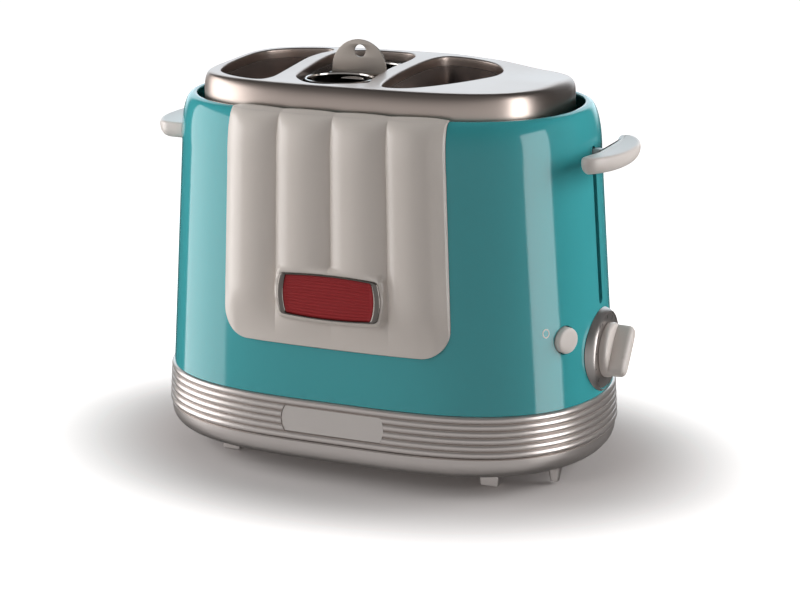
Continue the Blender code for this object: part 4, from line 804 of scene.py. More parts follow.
def make_band():
    """The ribbed band, its bare nameplate, and the tray's door with its pull in the rear."""
    rows = []
    for roll in range(ROLLS):
        for share in (0.0, 0.05, 0.12, 0.22, 0.35, 0.5, 0.65, 0.78, 0.88, 0.95):
            z = BAND_FOOT + (BAND_TOP - BAND_FOOT) * (roll + share) / ROLLS
            sink = ROLL_DEPTH * (1 - math.sqrt(max(0.0, 1 - (2 * share - 1) ** 2)))
            rows.append((*inset(band_at(z), sink), z))
    for step, z in ((0.0014, BAND_TOP), (BAND_WALL, BAND_TOP), (BAND_WALL, BAND_FOOT)):
        rows.append((*inset(BAND_HALF, step), z))
    low, high = (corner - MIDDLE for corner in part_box("tray_front"))
    band, door = (stacked(name, rows, bridge=True) for name in ("ribbed_band", "tray_door"))
    near, far = 0.06, 0.1
    cut(band, cube("doorway", (low.x - SEAM, near, low.z - SEAM), (high.x + SEAM, far, high.z + SEAM)))
    combine(door, [cube("door_limit", (low.x, near, low.z), (high.x, far, high.z))], "INTERSECT")
    join(door, round_edges(cube("door_pull", *DOOR_PULL), 0.0012))
    cut(band, plate_prism("plate_seat", 0.0002, 0.0031, -0.01))
    plate = plate_prism("blank_nameplate", 0, 0.003, 0.0008)
    settle(band, SILVER, stands_for=["base_band"], angle=40)
    settle(door, SILVER, "crumb_tray", ["tray_front"], angle=40)
    settle(plate, PLATE_SILVER, stands_for=["nameplate"], angle=40)


def plate_prism(name, grow_by, back, front):
    """A block with bowed ends that follows the band's front, between two depths behind its face."""
    tall = (PLATE_TOP - PLATE_FOOT) / 2 + grow_by
    skins = []
    for depth in (front, back):
        grid = []
        for i in range(37):
            column = []
            for k in range(9):
                up = -1 + k / 4
                x = (-1 + i / 18) * (PLATE_HALF_LENGTH + grow_by - PLATE_BOW * up * up)
                z = (PLATE_FOOT + PLATE_TOP) / 2 + up * tall
                column.append((x, depth - body_line(x, *band_at(z)), z))
            grid.append(column)
        skins.append(grid)
    return two_skins(name, skins)


def make_pan():
    """The pan turns in to a flat underside, over a hollow with a hole for the cord and wells for the screws."""
    rows = [(*inset(PAN_HALF, step), PAN_TOP) for step in (0.003, 0.0007)]
    edge, wall, floor = 0.0006, 0.002, 0.0118
    for cosine, sine in quarter(12):
        turn_in = PAN_TURN_IN * (1 - cosine ** PAN_ROUND)
        z = PAN_TOP - edge - (PAN_HEIGHT - edge) * sine ** PAN_ROUND
        rows.append((*inset(PAN_HALF, turn_in), z))
    hollow = [(x - wall, y - wall, max(z + (0.01 if i < 2 else 0), floor)) for i, (x, y, z) in enumerate(rows)]
    for step in (0.01, 0.03, 0.055):
        rows.append((*inset(PAN_HALF, PAN_TURN_IN + step), PAN_TOP - PAN_HEIGHT))
    pan = cut(stacked("base_pan_skin", rows), stacked("pan_hollow", hollow))
    gland = sum(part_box("cord_inlet"), Vector()) / 2 - MIDDLE
    cut(pan, round_bar("gland_hole", (gland.x, gland.y, 0), (gland.x, gland.y, 0.02), 0.0063))
    screws = []
    for x, y in SCREW_PLACES:
        cut(pan, round_bar("screw_well", (x, y, 0.0), (x, y, SCREW_Z + 0.0012), 0.0042))
        head = turned("screw_head", in_mm(((0.1, 0), (2.6, 0), (3.1, 0.6), (3.1, 1.2), (0.1, 1.2))),
                      (x, y, SCREW_Z), steps=32)
        for turn in (0, math.pi / 2):
            slot = cube("cross_slot", (-0.0018, -0.0003, -0.001), (0.0018, 0.0003, 0.0006))
            cut(head, moved(slot, (x, y, SCREW_Z), Matrix.Rotation(turn, 4, "Z")))
        screws.append(head)
    settle(pan, SILVER, stands_for=["base_pan"], angle=40)
    settle(merge_pieces("pan_screws", screws), GREY_STEEL)


def make_feet():
    """Square feet that narrow to the table, and the cord posts beside them."""
    post_profile = in_mm(((0.1, 1.6), (2, 1.6), (2.5, 1.9), (2.7, 2.5), (3.2, 5.2), (3.7, 7.8), (4.2, 9.8),
                          (4.8, 11.2), (0.1, 11.2)))
    for side, y_sign in (("front", -1), ("rear", 1)):
        for end, x_sign in (("left", -1), ("right", 1)):
            inward = Vector((FOOT_SHIFT[0] if x_sign < 0 else 0.0, -FOOT_SHIFT[1] * y_sign, 0))
            low, high = (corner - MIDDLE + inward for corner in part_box(f"{side}_{end}_foot"))
            foot = cube(f"{side}_{end}_foot_block", (low.x, low.y, 0.0), (high.x, high.y, FOOT_TOP))
            for corner in foot.data.vertices:
                for axis, narrowing in enumerate(FOOT_NARROWING if corner.co.z < FOOT_TOP / 2 else ()):
                    corner.co[axis] += math.copysign(narrowing, (low[axis] + high[axis]) / 2 - corner.co[axis])
            round_edges(foot, 0.0011, 4)
            settle(foot, SILVER, stands_for=[f"{side}_{end}_foot"])
            post = turned(f"{side}_{end}_post", post_profile, (x_sign * POST_X, y_sign * POST_Y, 0), steps=48)
            settle(post, SILVER, stands_for=[f"{side}_{end}_cord_post"])


# ---- Shell, panel and badge ----

def make_shell():
    """The gloss shell: a thin wall that turns in at its rim, with the lever's slot and the round holes."""
    rows = shell_rows()
    for step, rise in ((0.00025, 0.00018), (0.0006, 0.00024), (0.0018, 0.00024), (0.0023, 0.0), (SHELL_WALL, -0.0008)):
        rows.append((*inset(SHELL_RIM[:2], step), SHELL_RIM[2] + rise))
    for z in (0.206, 0.2, 0.192, 0.184, 0.12, SHELL_FOOT[2]):
        rows.append((*inset(shell_at(z), SHELL_WALL + 0.0006 * min(1.0, (SHELL_RIM[2] - z) / 0.01)), z))
    shell = leaned(stacked("gloss_shell", rows, bridge=True))
    slot = cube("slot_cutter", *LEVER_SLOT)
    edit(slot)
    bpy.ops.mesh.select_all(action="DESELECT")
    bpy.ops.object.mode_set(mode="OBJECT")
    for line in slot.data.edges:
        a, b = (slot.data.vertices[i].co for i in line.vertices)
        line.select = abs(a.x - b.x) > 0.01
    bpy.ops.object.mode_set(mode="EDIT")
    bpy.ops.mesh.select_mode(type="EDGE")
    bpy.ops.mesh.bevel(offset=0.0028, segments=8)
    bpy.ops.mesh.select_mode(type="VERT")
    bpy.ops.object.mode_set(mode="OBJECT")
    reach = BUTTON_OUTWARD * 0.012
    hole = round_bar("button_cutter", BUTTON_PLACE - reach, BUTTON_PLACE + reach, BUTTON_HOLE)
    shaft = round_bar("shaft_cutter", (0.12, 0, KNOB_Z), (0.15, 0, KNOB_Z), SHAFT_HOLE)
    cut(shell, slot, hole, shaft)
    settle(shell, TEAL, stands_for=["body_shell"], angle=38)


def panel_half(z):
    share = (z - PANEL_FOOT) / (SHELL_RIM[2] - PANEL_FOOT)
    return PANEL_HALF_FOOT + share * (PANEL_HALF_TOP - PANEL_HALF_FOOT)


def panel_foot(share):
    """Height of the panel's lower edge, which sags a little and rounds up at its corners."""
    beyond = min(max(abs(share) * PANEL_HALF_FOOT - (PANEL_HALF_FOOT - PANEL_CORNER), 0), PANEL_CORNER)
    corner = PANEL_CORNER - math.sqrt(PANEL_CORNER ** 2 - beyond ** 2)
    return PANEL_FOOT + 0.0008 - 0.0012 * (1 - share * share) + corner


def panel_edge_distance(x, z):
    """How far a place on the panel is from its rounded outline."""
    side = panel_half(z) - abs(x)
    up = z - PANEL_FOOT + 0.0004
    if side < PANEL_CORNER and up < PANEL_CORNER:
        return PANEL_CORNER - math.hypot(PANEL_CORNER - side, PANEL_CORNER - up)
    return min(side, up)


def flute_rise(x, z):
    """How far a flute stands over the valleys; it starts soft at the foot and rounds off at the top."""
    place = (x / panel_half(z) + 1) / 2 * FLUTES
    across = 2 * (place - math.floor(min(max(place, 0), FLUTES - 0.0001))) - 1
    lobe = max(0.0, 1 - across * across) ** 0.85
    end = min(1.0, max(0.0, (SHELL_RIM[2] + 0.0005 - z) / 0.014))
    return FLUTE_DEPTH * lobe * ease((z - 0.084) / 0.03) * math.sqrt(end * (2 - end))


def panel_height(x, z):
    """How far the panel's face stands off the shell, with a soft pad round the badge."""
    place = (x - BADGE_X, z - BADGE_Z)
    shares = [min(1, (far / half) ** 2) for far, half in zip(place, BADGE_HALF)]
    beyond = [max(0, abs(far) - half * (1 - bow * other))
              for far, half, bow, other in zip(place, BADGE_HALF, BADGE_BOW, shares[::-1])]
    pad = 1 - ease((math.hypot(*beyond) - 0.001) / 0.0028)
    side = panel_half(z) - abs(x)
    rim = ease((panel_edge_distance(x, z) if z < SHELL_SHOULDER[2] else side) / PANEL_EDGE)
    step = PANEL_STEP * (0.3 + 0.7 * ease(side / 0.009))
    return (step + flute_rise(x, z) * (1 - pad) + (FLUTE_DEPTH + 0.0001) * pad) * rim


def panel_column(share, face):
    """Points up one line of the panel's face or back, over the shell's shoulder and curled in at the rim."""
    foot = panel_foot(share)
    rises = [0, 0.003, 0.006, 0.009, 0.013, 0.02, 0.03, 0.045]
    rises += [0.045 + 0.0095 * i for i in range(1, 48)] + [0.52, 0.56, 0.62, 0.7, 0.8, 0.9]
    heights = [(foot + rise * (SHELL_SHOULDER[2] - foot), 0) for rise in rises]
    for _, _, z in shell_rows(20)[5:]:
        up = (z - SHELL_SHOULDER[2]) / (SHELL_RIM[2] - SHELL_SHOULDER[2])
        heights.append((z, 0.0004 * up))
    column = []
    for z, lift in heights:
        x = share * panel_half(z)
        out = body_line(x, *shell_at(z)) + SEAM + (panel_height(x, z) if face else 0)
        column.append((x, -out, z + lift))
    x = share * panel_half(SHELL_RIM[2])
    out = body_line(x, *SHELL_RIM[:2])
    curl = ((0.0, 0.00065), (0.0007, 0.00065), (0.0014, 0.00065))
    if face:
        stand = panel_height(x, SHELL_RIM[2])
        curl = ((-0.5 * stand, 0.0005 + 0.4 * stand), (0.0, 0.0006 + 0.5 * stand), (0.0014, 0.0007 + 0.5 * stand))
    return column + [(x, -out + inward, SHELL_RIM[2] + rise) for inward, rise in curl]


def make_panel():
    per_flute = 26
    shares = {round(-1 + 2 * i / (FLUTES * per_flute), 6) for i in range(FLUTES * per_flute + 1)}
    for flute in range(1, FLUTES):
        valley = -1 + 2 * flute / FLUTES
        shares |= {round(valley + step, 6) for step in (-0.008, -0.004, 0.004, 0.008)}
    shares |= {round(sign * (1 - step), 6) for sign in (-1, 1) for step in (0.0, 0.0035, 0.007, 0.0105, 0.015)}
    skins = [[panel_column(share, face) for share in sorted(shares)] for face in (True, False)]
    panel = leaned(two_skins("fluted_panel", skins))
    settle(panel, CREAM, stands_for=["front_panel"], angle=50)


def barrel(x, y, across, up):
    """A place on the badge drawn in where its sides bow, by its shares of the half length and the half height."""
    return x * (1 - BADGE_BOW[0] * up * up), y * (1 - BADGE_BOW[1] * across * across)


def badge_outline(share):
    """A barrel with bowed sides and tight corners, at a share of the frame's width inward."""
    half_x, half_y = (half - share * frame_width for half, frame_width in zip(BADGE_HALF, BADGE_FRAME))
    radius = 0.0019 - 0.0008 * share
    long, tall = half_x - radius, half_y - radius
    corners = ((long, -tall), (long, tall), (-long, tall), (-long, -tall))
    sides = ((half_x, tall), (-long, half_y), (-half_x, -tall), (long, -half_y))
    points = []
    for turn, ((x, y), (bx, by)) in enumerate(zip(corners, sides)):
        for step in range(7):
            angle = math.pi / 2 * (turn - 1 + step / 6)
            points.append((x + radius * math.cos(angle), y + radius * math.sin(angle)))
        ax, ay = points[-1]
        points += [(ax + (bx - ax) * step / 16, ay + (by - ay) * step / 16) for step in range(1, 16)]
    return [barrel(x, y, x / half_x, y / half_y) for x, y in points]


def make_badge():
    """A dark frame with a rounded section, round a bare plate of ribbed enamel."""
    frame_low, frame_high = 0.0004, 0.0013
    profile = [(0.0, -frame_low), (0.0, frame_low)]
    for step in range(1, 10):
        angle = math.pi * step / 10
        profile.append((0.5 - 0.5 * math.cos(angle), frame_low + frame_high * math.sin(angle) ** 0.8))
    profile += [(1.0, frame_low), (1.0, -frame_low)]
    bezel = loft("badge_bezel_ring", [[(x, y, height) for x, y in badge_outline(share)] for share, height in profile])
    deselect()
    bpy.ops.mesh.primitive_grid_add(x_subdivisions=60, y_subdivisions=156, size=2)
    plate = named("badge_enamel_plate")
    span_x, span_y = (half - width + 0.0001 for half, width in zip(BADGE_HALF, BADGE_FRAME))
    for vertex in plate.data.vertices:
        u, v = vertex.co.x, vertex.co.y
        rib = 0.5 * math.cos(v * BADGE_RIBS * math.pi) - 0.1
        line = max(0.0, 1 - abs(abs(u) - RIM_LINE) / 0.012)
        height = 0.0005 + RIB_HEIGHT * ease((RIB_END - abs(u)) / 0.02) * rib + 0.0003 * line
        vertex.co = (*barrel(u * span_x, v * span_y, u, v), height)
    thicken(plate, 0.0006)
    halves = shell_at(BADGE_Z)
    front = body_line(0, *halves)
    face = front + SEAM + PANEL_STEP + FLUTE_DEPTH - 0.0002
    lean = math.atan2(SHELL_FOOT[1] - SHELL_SHOULDER[1], SHELL_SHOULDER[2] - SHELL_FOOT[2])
    for piece in (bezel, plate):
        for vertex in piece.data.vertices:
            vertex.co.z -= front - body_line(vertex.co.x, *halves)
        moved(piece, (BADGE_X, -face, BADGE_Z), Matrix.Rotation(math.pi / 2 - lean, 4, "X"))
    settle(bezel, DARK_CHROME, stands_for=["badge_bezel"], angle=60)
    settle(plate, RED_ENAMEL, stands_for=["badge_plate"], angle=60)


# ---- Steel top ----

def cover_wall_rings():
    """Rings up the cover's wall and over its shoulder to the edge of the flat."""
    wide_x, wide_y, tall = COVER_SHOULDER
    rows = [(1.05, COVER_FOOT, 0), (1.03, COVER_FOOT + 0.004, 0)]
    for parts in quarter(18):
        out, up = (part ** (2 / 2.3) for part in parts)
        rows.append((out, COVER_TOP - tall + tall * up, 1 - min(1.0, out)))
    rings = []
    for out, z, share in rows:
        power = COVER_SIDE_POWER + share * (COVER_FLAT_POWER - COVER_SIDE_POWER)
        points = []
        for x, y in superellipse(COVER_FLAT[0] + wide_x * out, COVER_FLAT[1] + wide_y * out, COVER_END_POWER, power):
            x += COVER_SHIFT
            points.append((x, y, z + top_lift(x, y) * ease((z - COVER_TOP + 0.0075) / 0.0075)))
        rings.append(points)
    return rings


def mouth_rings(opening, others):
    """Rings round a mouth from the flat down its rolled edge, drawn in where it comes near another edge."""
    edge = [(x + COVER_SHIFT, y) for x, y in superellipse(*COVER_FLAT, COVER_END_POWER, COVER_FLAT_POWER, 720)]
    needed = 0.0029
    rooms = [min(1, 0.7 * nearest(point, edge) / needed, *(0.4 * nearest(point, other) / needed for other in others))
             for point in opening]
    skin = 0.00008
    profile = [(RIM_ROLL + 0.0012, 0.0), (RIM_ROLL, skin)]
    profile += [(RIM_ROLL * (1 - sine), skin - RIM_ROLL * (1 - cosine)) for cosine, sine in quarter(7, 1)]
    profile += [(0.0, -0.0032), (0.0, -0.0055)]
    rings = []
    for out, drop in profile:
        line = moved_out(opening, [out * room for room in rooms])
        rings.append([(x, y, COVER_TOP + drop + top_lift(x, y)) for x, y in line])
    return rings


def fill_flat(shape, borders):
    """Fills the flat between its outer border and the mouths' with even triangles."""
    points = [vertex for border in borders for vertex in border]
    edges = []
    start = 0
    for border in borders:
        count = len(border)
        edges += [(start + i, start + (i + 1) % count) for i in range(count)]
        start += count
    outer, *holes = [[tuple(vertex.co.xy) for vertex in border] for border in borders]
    for i in range(-25, 26):
        for k in range(-15, 16):
            place = (i * FLAT_SPACING, (k + 0.5 * (i % 2)) * FLAT_SPACING)
            if not inside(place, outer) or nearest(place, outer) < FLAT_CLEARANCE:
                continue
            if any(inside(place, hole) or nearest(place, hole) < MOUTH_CLEARANCE for hole in holes):
                continue
            points.append(shape.verts.new((*place, COVER_TOP + top_lift(*place))))
    found, _, faces, origins, *_ = delaunay_2d_cdt([vertex.co.xy for vertex in points], edges, [], 0, 1e-7)
    for face in faces:
        middle = sum((found[i] for i in face), Vector((0, 0))) / len(face)
        if inside(middle, outer) and not any(inside(middle, hole) for hole in holes):
            shape.faces.new([points[origins[i][0]] for i in face])


def make_cover():
    """One pressed sheet: a wall and shoulder in one curve, a nearly flat top and three rolled mouths."""
    shape = bmesh.new()
    openings = [smooth_loop(knots) for knots in (LEFT_OPENING, BASKET_OPENING, RIGHT_OPENING)]
    borders = [span(shape, cover_wall_rings())[-1]]
    for opening in openings:
        borders.append(span(shape, mouth_rings(opening, [other for other in openings if other is not opening]))[0])
    fill_flat(shape, borders)
    cover = from_shape("pressed_cover", shape)
    if max(cover.data.polygons, key=lambda polygon: polygon.center.z).normal.z < 0:
        edit(cover)
        bpy.ops.mesh.flip_normals()
        bpy.ops.object.mode_set(mode="OBJECT")
    thicken(cover, SHEET)
    settle(cover, COVER_STEEL, stands_for=["top_cover"], angle=50)


def make_sleeve(name, outline, knots, windows, cad_node, tongue_x=None):
    """A bay's sheet sleeve that widens to the mouth above it, with windows for the heat."""
    opening = smooth_loop(knots)
    rings = []
    for skin, order in zip(SLEEVE_SKINS, (SLEEVE_HEIGHTS, SLEEVE_HEIGHTS[::-1])):
        for z in order:
            share = ease((z - 0.193) / 0.0235)
            line = [(ax + share * (bx - ax), ay + share * (by - ay)) for (ax, ay), (bx, by) in zip(outline, opening)]
            lift = [top_lift(x, y) * ease((z - 0.205) / 0.0155) for x, y in line]
            line = moved_out(line, 0.0013 * share - skin)
            rings.append([(x, y, z + rise) for (x, y), rise in zip(line, lift)])
    sleeve = loft(name, rings)
    for y in (-0.02, 0.0, 0.02):
        low, high = (windows[0], y - WINDOW_HALF, WINDOW_FOOT), (windows[1], y + WINDOW_HALF, WINDOW_TOP)
        cut(sleeve, cube("window", low, high))
    if tongue_x is not None:
        low = (tongue_x - TONGUE_HALF, -0.07, SLEEVE_FOOT - 0.01)
        high = (tongue_x + TONGUE_HALF, 0.07, TONGUE_TOP)
        cut(sleeve, cube("tongue_slot", low, high))
    settle(sleeve, BAY_STEEL, stands_for=[cad_node], angle=40)


def make_sleeves():
    left, right = bay_outline(*LEFT_BAY), bay_outline(*RIGHT_BAY)
    make_sleeve("left_bay_sleeve", left, LEFT_OPENING, (-0.104, -0.053), "left_bun_sleeve", -0.0782)
    make_sleeve("right_bay_sleeve", right, RIGHT_OPENING, (0.0045, 0.067), "right_bun_sleeve", 0.036)
    make_sleeve("basket_bay_sleeve", basket_outline(), BASKET_OPENING, (-0.056, 0.006), "basket_sleeve")


# ---- Basket ----

def make_basket():
    """Two collars on a bridge with a lifting tab."""
    collar_profile = in_mm(((0, -10), (0, -1.6), (0.4, -0.9), (0.3, -0.3), (-0.3, 0), (-0.9, -0.4), (-1.1, -1.2),
                            (-0.8, -1.8), (-0.8, -10)), RING_RADIUS, RING_TOP)
    places = ((BASKET_X - 0.0004, -0.0217), (BASKET_X, RING_Y))
    collars = [turned("collar", collar_profile, (x, y, 0), steps=80) for x, y in places]
    half_x, half_y = BRIDGE_HALF
    bridge = cube("basket_carrier", (BASKET_X - half_x, -half_y, RING_TOP - 0.0018),
                  (BASKET_X + half_x, half_y, RING_TOP - 0.001))
    for x, y in places:
        cut(bridge, round_bar("collar_way", (x, y, 0.2), (x, y, 0.24), RING_RADIUS - 0.0004, 80))
    ears = round_edges(cube("basket_ears", *BASKET_EARS), 0.0004, 2)
    neck = cube("basket_neck", (BASKET_X - 0.0085, -0.001, 0.2204), (BASKET_X + 0.0085, 0.001, 0.2232))
    tab = make_tab()
    carrier = merge_pieces("basket_carrier", [bridge, ears, neck, *collars])
    settle(carrier, BRIGHT_STEEL, "basket", ["basket_frame"], angle=40)
    settle(tab, SATIN_TAB, "basket", angle=40)


def make_cages():
    """A slotted tube for a sausage under each collar."""
    reach, half, margin = CAGE_SLOT
    tall = (CAGE_TOP - CAGE_FOOT) * 1000
    profile = in_mm(((6, 0), (17.4, 0), (18.8, 0.6), (19.4, 2), (19.4, tall), (18.6, tall), (18.6, 2.5), (17.6, 1.1),
                     (6, 0.8)), height=CAGE_FOOT)
    for name, y in (("front_sausage_cage", -RING_Y), ("rear_sausage_cage", RING_Y)):
        cage = turned(f"{name}_sheet", profile, (BASKET_X, y, 0), steps=72)
        for turn in range(4):
            slot = cube("cage_slot", (0, -half, CAGE_FOOT + margin), (reach, half, CAGE_TOP - margin))
            round_edges(slot, 0.0035, 4)
            cut(cage, moved(slot, (BASKET_X, y, 0), Matrix.Rotation(math.pi / 2 * turn, 4, "Z")))
        settle(cage, BRIGHT_STEEL, "basket", [name], angle=40)


def arc(radius, x, y, turn, steps, points):
    """Points on a part of a circle."""
    angles = [turn * i / steps for i in range(points)]
    return [(x + radius * math.cos(angle), y + radius * math.sin(angle)) for angle in angles]


def make_tab():
    """The upright half-round tab with its finger hole, flared where it meets the bridge."""
    deselect()
    curve = bpy.data.curves.new("lifting_tab", "CURVE")
    curve.dimensions = "2D"
    curve.fill_mode = "BOTH"
    curve.extrude = 0.00042
    curve.bevel_depth = 0.00022
    curve.bevel_resolution = 2
    outline = arc(TAB_RADIUS, 0, TAB_RISE - TAB_RADIUS, math.pi, 48, 49)
    outline += [(-TAB_RADIUS, -0.0026), (TAB_RADIUS, -0.0026)]
    for path in (outline, arc(TAB_HOLE, 0.0006, TAB_RISE - 0.0065, math.tau, 40, 40)):
        spline = curve.splines.new("POLY")
        spline.points.add(len(path) - 1)
        for point, (x, y) in zip(spline.points, path):
            point.co = (x, y, 0, 1)
        spline.use_cyclic_u = True
    tab = bpy.data.objects.new("lifting_tab", curve)
    bpy.context.scene.collection.objects.link(tab)
    pick(tab)
    bpy.ops.object.convert(target="MESH")
    moved(weld(tab), (TAB_X, 0, COVER_TOP), Matrix.Rotation(math.pi / 2, 4, "X"))
    round_in = 0.0026
    section = [(0.0004 + round_in * (1 - sine), RING_TOP - 0.0008 + round_in * (1 - cosine))
               for cosine, sine in quarter(8)] + [(0.0001, RING_TOP - 0.0012)]
    flare = []
    for side in (-1, 1):
        rings = [[(TAB_X + along * 0.0172, side * y, z) for y, z in section] for along in (-1, -0.5, 0, 0.5, 1)]
        flare.append(loft("tab_fillet", rings, capped=True))
    return merge_pieces("lifting_tab", [tab, *flare])


# ---- Handles, timer and button ----

def shelf(name, sign, tip, half, *root):
    """A shelf to press or hold, with a fully rolled rim, from one half of its outline in millimetres."""
    knots = (tip, *half, *root, *((x, -y) for x, y in reversed(half)))
    outline = smooth_loop(knots, 160)
    rings = []
    for step, rise in in_mm(SHELF_RIM):
        rings.append([(sign * x, y, LEVER_Z + rise) for x, y in moved_out(outline, -step)])
    return loft(name, rings, capped=True)


def make_handles():
    handle = shelf("lever_shelf", 1, LEVER_TIP, LEVER_HALF)
    join(handle, round_edges(cube("stem_collar", *STEM_COLLAR), 0.0014))
    cut(handle, cube("stem_pocket", *STEM_POCKET))
    settle(handle, CREAM_HANDLE, "carriage", ["lever_handle"], angle=50)
    grip = moved(shelf("side_shelf", -1, GRIP_TIP, GRIP_HALF, GRIP_ROOT), (0, 0, GRIP_LIFT))
    cut(grip, shell_cutter())
    settle(grip, CREAM_HANDLE, stands_for=["left_side_grip"], angle=50)


def make_timer():
    """A bevelled ring with strokes round its dial, and a knob with a bar across it."""
    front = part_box("timer_bezel")[1].x - MIDDLE.x
    face = ((4.2, -0.3), (21.6, -0.3), (21.9, -0.8), (22.2, -0.7), (22.5, -0.1), (22.9, 0), (23.4, -0.4), (24.4, -2),
            (25.1, -4.1), (25.6, -6.4))
    profile = in_mm(face, height=front) + [(0.0257, DIAL_BACK), (0.0042, DIAL_BACK)]
    bezel = turned("timer_ring", profile, (0, 0, DIAL_Z), "X", 128)
    cut(bezel, shell_cutter())
    cut(bezel, cube("band_limit", (0.12, -0.04, 0.04), (0.14, 0.04, SHELL_FOOT[2])))
    settle(bezel, BEZEL_SILVER, stands_for=["timer_bezel"], angle=40)
    marks = []
    for step in range(DIAL_MARKS):
        start = 0.0192 if step % 2 else 0.0184
        mark = cube("dial_mark", (front - 0.0004, -0.0002, start), (front - 0.00022, 0.0002, 0.0208))
        angle = math.radians(DIAL_START - DIAL_STEP * step)
        marks.append(moved(mark, (0, 0, DIAL_Z), Matrix.Rotation(angle, 4, "X")))
    settle(merge_pieces("dial_marks", marks), MARK_DARK)
    back = front - 0.0001
    disc = ((0, 0), (15.7, 0), (16, 0.4), (16, 2.6), (15.7, 3.6), (14.9, 4.3), (13.8, 4.5), (0, 4.5))
    knob = turned("knob_disc", in_mm(disc, height=back), (0, 0, KNOB_Z), "X", 128)
    rows = [(0.0157, 0.0052, back + 0.0015)]
    for cosine, sine in quarter(12):
        drawn_in = 0.0038 * (1 - cosine)
        rows.append((0.0155 - drawn_in, 0.005 - drawn_in, KNOB_REACH - 0.0034 * (1 - sine)))
    turn = Matrix.Rotation(KNOB_TURN, 4, "X") @ Matrix.Rotation(math.pi / 2, 4, "Y")
    join(knob, moved(stacked("knob_bar", rows, powers=(4, 3)), (0, 0, KNOB_Z), turn))
    settle(knob, CREAM_HANDLE, "timer_knob", ["timer_knob"], angle=50)


def make_button():
    """The stop button, and the plain printed ring beside it."""
    cap = ((0, -6), (7.2, -6), (7.5, -5.7), (7.5, 1.5), (7.2, 2.3), (6.5, 2.7), (4.5, 2.88), (0, 2.9))
    turn = BUTTON_OUTWARD.to_track_quat("Z", "Y").to_matrix().to_4x4()
    button = moved(turned("stop_cap", in_mm(cap), steps=72), BUTTON_PLACE, turn)
    settle(button, CREAM_HANDLE, "stop_button", ["stop_button"], angle=40)
    mark = turned("off_ring", in_mm(((2, 0), (2, 0.08), (2.72, 0.08), (2.72, 0))), steps=48)
    for vertex in mark.data.vertices:
        y = OFF_RING_PLACE[0] + vertex.co.x * OFF_RING_SHARE
        z = OFF_RING_PLACE[1] + vertex.co.y
        vertex.co = (end_line(y, *shell_at(z)) + lean_at(z) + 0.00004 + vertex.co.z, y, z)
    settle(mark, PRINT_CREAM)


# ---- Inside ----

def dress_cad_nodes():
    """Finishes for the CAD nodes that stay."""
    finishes = {
        PLAIN_STEEL: ("chassis_floor", "left_chassis_plate", "right_chassis_plate", "front_heat_shield",
                      "rear_heat_shield", "lift_frame", "left_bun_rest", "right_bun_rest", "lever_arm",
                      "top_bracket", "crumb_tray"),
        GREY_STEEL: ("guide_rod", "magnet_core", "armature", "timer_shaft", "lift_spring"),
        MICA: [f"{side}_{place}_heater_card" for side in ("left", "right") for place in ("inner", "outer")],
        NICHROME: [f"{side}_{place}_heater_wire" for side in ("left", "right") for place in ("inner", "outer")],
        BOARD: ("control_board",),
        BLACK: ("timer_body", "stop_switch"),
        COPPER: ("magnet_coil",),
        RUBBER: ("cord_inlet",),
    }
    for material, nodes in finishes.items():
        for node in nodes:
            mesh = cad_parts[node].data
            mesh.materials.clear()
            mesh.materials.append(material)


# ---- Studio ----

def faded(tree, value, start, end, first, last):
    """A value that passes softly from one level to another."""
    sockets = {0: value, 1: start, 2: end, 3: first, 4: last}
    return add_node(tree, "ShaderNodeMapRange", sockets, interpolation_type="SMOOTHSTEP").outputs[0]


def mirrored_rays(tree, ray):
    return calculate(tree, "MAXIMUM", ray["Is Glossy Ray"], ray["Is Transmission Ray"])


def stage_floor():
    """A pale floor that keeps the object's cast shadow and goes over to white around it: a painted white glow that the
    camera sees, held back in an ellipse round the object as painted shade.
    """
    deselect()
    bpy.ops.mesh.primitive_plane_add(size=12, location=(0, 0, 0))
    floor = named("studio_floor")
    material = bpy.data.materials.new("white_floor")
    material.use_nodes = True
    tree = material.node_tree
    tree.nodes.clear()
    ray = add_node(tree, "ShaderNodeLightPath").outputs
    parts = add_node(tree, "ShaderNodeSeparateXYZ", {0: object_place(tree)}).outputs
    across = calculate(tree, "MULTIPLY", parts["X"], 1 / PAINTED_SHADOW_HALF[0])
    deep = calculate(tree, "MULTIPLY", parts["Y"], 1 / PAINTED_SHADOW_HALF[1])
    square = calculate(tree, "MULTIPLY_ADD", across, across, calculate(tree, "MULTIPLY", deep, deep))
    # Painted shade: the glow fades out in an ellipse round the object, so the floor there is darker than its cast
    # shadow alone makes it.
    beyond = faded(tree, calculate(tree, "SQRT", square), 0.8, 1.65, 0.0, 1.0)
    seen = calculate(tree, "MAXIMUM", ray["Is Camera Ray"], mirrored_rays(tree, ray))
    lit = add_node(tree, "ShaderNodeBsdfDiffuse", {"Color": (0.65, 0.62, 0.612, 1)})
    strength = calculate(tree, "MULTIPLY", beyond, seen)
    # Painted light: the floor glows white to the camera away from the object, though it is no lamp.
    painted_glow = add_node(tree, "ShaderNodeEmission", {"Color": (1, 0.985, 0.98, 1), "Strength": strength})
    both = add_node(tree, "ShaderNodeAddShader", {0: lit.outputs[0], 1: painted_glow.outputs[0]})
    add_node(tree, "ShaderNodeOutputMaterial", {"Surface": both.outputs[0]})
    floor.data.materials.append(material)
    floor.visible_glossy = False


